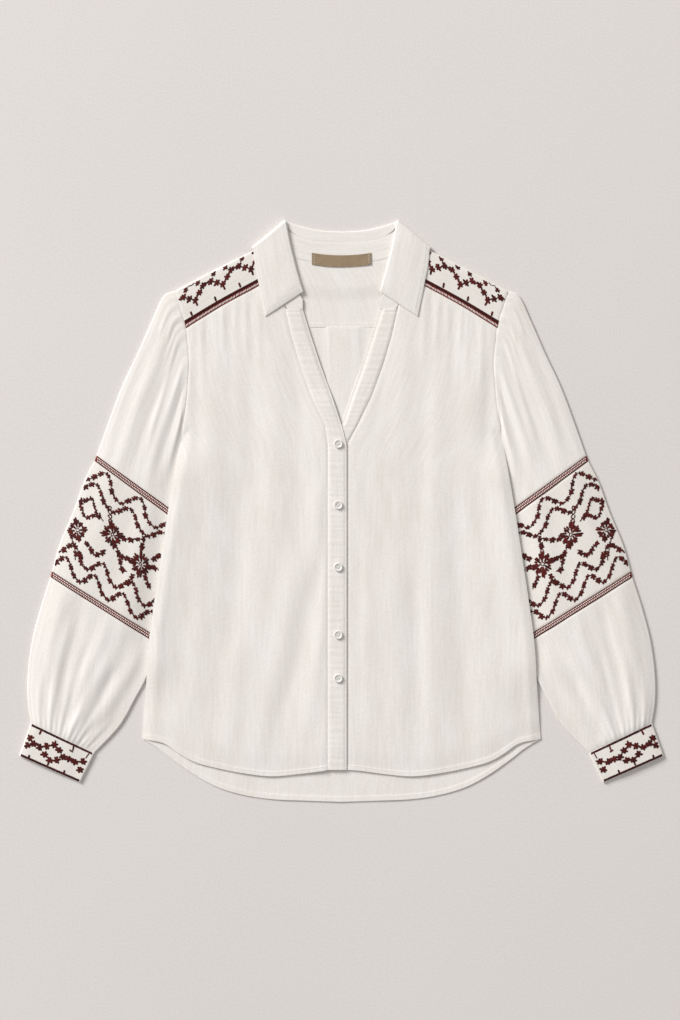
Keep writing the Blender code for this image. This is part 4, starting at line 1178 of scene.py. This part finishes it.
def panel_chart():
    """Two wavy vines along the top and two along the bottom of the band, with three rosettes,
    a diamond and small rings and stems between them."""
    wave = np.array(VINE_TURN)
    rows = []
    for first, period, top, depth, count in VINES:
        for k in range(-1, count):
            turned = wave * (period, depth) + (first + period * k, top)
            rows += vine(turned, (0.28, 0.79))
    rows += rosette(60.0, 68.5) + rosette(109.0, 81.0, 18.5, 32.0) + rosette(14.5, 90.0, 15.0, 12.0)
    for k in range(4):
        rows += ring(45.0 + 2.2 * k, 40.0 + 4.7 * k, 2.3, 1.6)
    rows += vine(PANEL_DIAMOND, (0.5,), 8.6)
    for stem, thick in PANEL_STEMS:
        rows += vine(stem, thick)
    return rows


def cuff_chart():
    """An oval of eight stars in the middle, a chain of stars to each side that forks at the
    fold, and ticks that stand on both lines."""
    rows = []
    for s, t in CUFF_STARS:
        rows += star(s, t, 10.4, 3.4)
    rows += [(16.7, 22, 6, 4.5, 2.6), (66.6, 20.8, 0, 4.5, 2.6), (76.0, 18.2, -32, 5.5, 2.2)]
    rows += [(38.4, 8.4, 88, 5.0, 2.6), (38.8, 36.6, 88, 6.0, 2.6), (84.0, 7.0, 100, 9.0, 1.6)]
    rows += [(15.8, 5.0, 96, 7.0, 2.9), (62.6, 5.4, 80, 8.0, 2.4), (13.0, 38.8, 84, 5.5, 2.9),
             (62.0, 38.6, 84, 5.5, 2.9)]
    return rows + [(62.0, 9.6, 8, 5.6, 2.2)]


def tape_pieces(node, ground, spread, width, length):
    """Two dark edges and a red rail along a tape, and two rows of small cream stitches between them."""
    edges = [(s, t, 0, 1.9, 1.3) for t in (0.8, length - 0.8) for s in np.arange(0.8, width, 1.5)]
    rails = [(s, length / 2, 0, 1.9, 1.0) for s in np.arange(0.8, width, 1.5)]
    cells = [(s + 0.9 * k, length * (0.31 + 0.38 * k), 88, 2.0, 1.45)
             for k in (0, 1) for s in np.arange(0.8, width, 2.45)]
    return [stitched(node + "_edges", edges, ground, spread, red_thread, 0.4, seed=60, uneven=0.3),
            stitched(node + "_rails", rails, ground, spread, rail_thread, 0.4, seed=61, uneven=0.3),
            stitched(node + "_cells", cells, ground, spread, cream_thread, 0.42, seed=62, uneven=0.3)]


for side, name in SIDES:
    pieces, sewn = {}, {}
    for span, (node, slot, finish, length, puff_start, puff_end) in SLEEVE_SPANS.items():
        node += name
        rings = spaced(length, 2.6) if length > 20 else evenly(9)
        grid, front_points = sleeve_ring(span, rings, length, puff_start, puff_end, side)
        from_start, from_end, _, _ = reach(grid)
        if not span.startswith("trim"):
            is_front = np.arange(grid.shape[1]) < front_points
            grid[..., 2] += is_front * (seam_dip(from_start, 0.45) + seam_dip(from_end, 0.45))
        wall = CLOTH
        if span == "cuff":
            wall = CUFF_WALL
            grid[..., 2] += CUFF_WALL / 2 - CUFF_SINK
        pieces[span] = shell(node + "_cloth", node, grid, finish, side=side, ring=True, wall=wall)
        outline = sleeve_plan(span, rings)
        widths = np.linalg.norm(outline[:, -1] - outline[:, 0], axis=1)
        width = widths.mean()
        margin = (SLEEVE_EDGE_LEVEL - FLOOR + CLOTH) / 2
        ground = Ground(grid[:, :front_points], wall / 2, side, rings, spaced(float(width), FRONT_STEP))

        def spread(s, t):
            here = np.interp(t / length, rings, widths)
            return t / length, (s - margin) / (here - 2 * margin)

        sewn[span] = []
        if span.startswith("trim"):
            sewn[span] = tape_pieces(node, ground, spread, width, length)
        if span == "panel":
            chart, height, seed = panel_chart(), 0.65, 50 + side
        if span == "cuff":
            chart, height, seed = cuff_chart(), 0.6, 57 + side
            line = [(s, t, 78, 3.0, 1.15) for t in (1.5, length - 1.7) for s in np.arange(0.5, width, 0.85)]
            line = stitched(node + "_lines", line, ground, spread, black_thread, 0.5, seed=55, uneven=0.4)
        if span in ("panel", "cuff"):
            sewn[span] = [stitched(node + "_stitches", chart, ground, spread, red_thread, height, seed=seed)]
    sewn["cuff"].append(line)
    panel_work = sewn["panel"] + [pieces["trim_top"], pieces["trim_bottom"]]
    panel_work += sewn["trim_top"] + sewn["trim_bottom"]

# Buttons
# Five small four-hole buttons with a raised rim, pale like horn or shell, are sewn to the upper band with
# crossed cream thread.

BUTTON_X = 4.2
BUTTON_Y = (87.1, 7.8, -72.8, -160.7, -217.1)
BUTTON_GAP = 0.85
BUTTON_SPOKES = 56
# Profile from the centre of the face over the rim to the underside: radii and heights
BUTTON_RADII = [0.45, 0.8, 1.1, 1.4, 1.7, 2.0, 2.3, 2.6, 3.0, 3.6, 4.0, 4.25, 4.5, 4.8, 5.1, 5.35, 5.48, 5.5,
                5.42, 5.0, 4.2, 2.0]
BUTTON_HEIGHTS = [1.45, 1.45, 1.45, 1.45, 1.45, 1.45, 1.45, 1.46, 1.48, 1.58, 1.78, 1.98, 2.12, 2.2, 2.14,
                  1.9, 1.55, 1.1, 0.6, 0.2, 0.02, 0.0]
FACE_ROWS = 9
HOLE_RADIUS = 0.75
HOLE_DEPTH = 0.9
HOLE_PLACE = 1.25
SHELL_DEEP = (0.80, 0.75, 0.68)
SHELL_LIGHT = (0.88, 0.845, 0.795)

shell_face = Finish("pale_shell", Roughness=0.38)
shell_face.shader.inputs["Coat Weight"].default_value = 0.3
shell_face.shader.inputs["Subsurface Weight"].default_value = 0.1
place = shell_face.node("ShaderNodeTexCoord", {}, {}, out=3)
cloud = shell_face.noise(place, 260.0, 3.0)
shell_face.give(shell_face.shader, {"Base Color": shell_face.mixed(cloud, SHELL_DEEP, SHELL_LIGHT)})
across = np.array(BUTTON_RADII)[:, None]
profile = np.array(BUTTON_HEIGHTS)[:, None]
is_face = np.arange(len(across))[:, None] < FACE_ROWS
angle = 2 * np.pi * np.arange(BUTTON_SPOKES) / BUTTON_SPOKES
for number, centre_y in enumerate(BUTTON_Y, 1):
    base = front_level(np.array(BUTTON_X), np.array(centre_y), -1) + BUTTON_GAP
    x = across * np.cos(angle)
    y = across * np.sin(angle)
    holes = np.hypot(np.abs(x) - HOLE_PLACE, np.abs(y) - HOLE_PLACE)
    level = profile - HOLE_DEPTH * ease((HOLE_RADIUS + 0.1 - holes) / 0.4) * is_face
    turn = 0.35 * number
    sine, cosine = np.sin(turn), np.cos(turn)
    points = np.stack([x * cosine - y * sine, x * sine + y * cosine, level], axis=-1)
    poles = [(0, 0, BUTTON_HEIGHTS[0]), (0, 0, 0)]
    points = np.vstack([points.reshape(-1, 3), poles]) + (-BUTTON_X, centre_y, float(base))
    index = np.arange(across.size * angle.size).reshape(across.size, -1)
    turned = np.roll(index, -1, axis=1)
    quads = np.stack([index[:-1], index[1:], turned[1:], turned[:-1]], axis=-1).reshape(-1, 4)
    caps = [np.stack([line, following, np.full_like(line, index.size + pole)], axis=1)
            for pole, line, following in ((0, index[0], turned[0]), (1, index[-1], turned[-1]))]
    faces = quads.tolist() + caps[0].tolist() + caps[1].tolist()
    shown(f"button_shell_{number}", points * MM, faces, None, shell_face.material,
          f"button_{number}")
    middle = np.array((-BUTTON_X, centre_y, float(base) + 1.5))
    spans = np.linspace(-1, 1, 5)[None, :, None] * HOLE_PLACE
    ways = np.array([(np.cos(turn + a), np.sin(turn + a), 0.0) for a in (np.pi / 4, 3 * np.pi / 4)])
    lines = middle + spans * np.sqrt(2) * ways[:, None] - np.abs(spans) * (0, 0, 0.35) + (0, 0, 0.15)
    ups = np.zeros_like(lines) + (0, 0, 1)
    threads(f"button_thread_{number}", "button_shell", lines, ups, 0.6, 0.3, cream_thread)
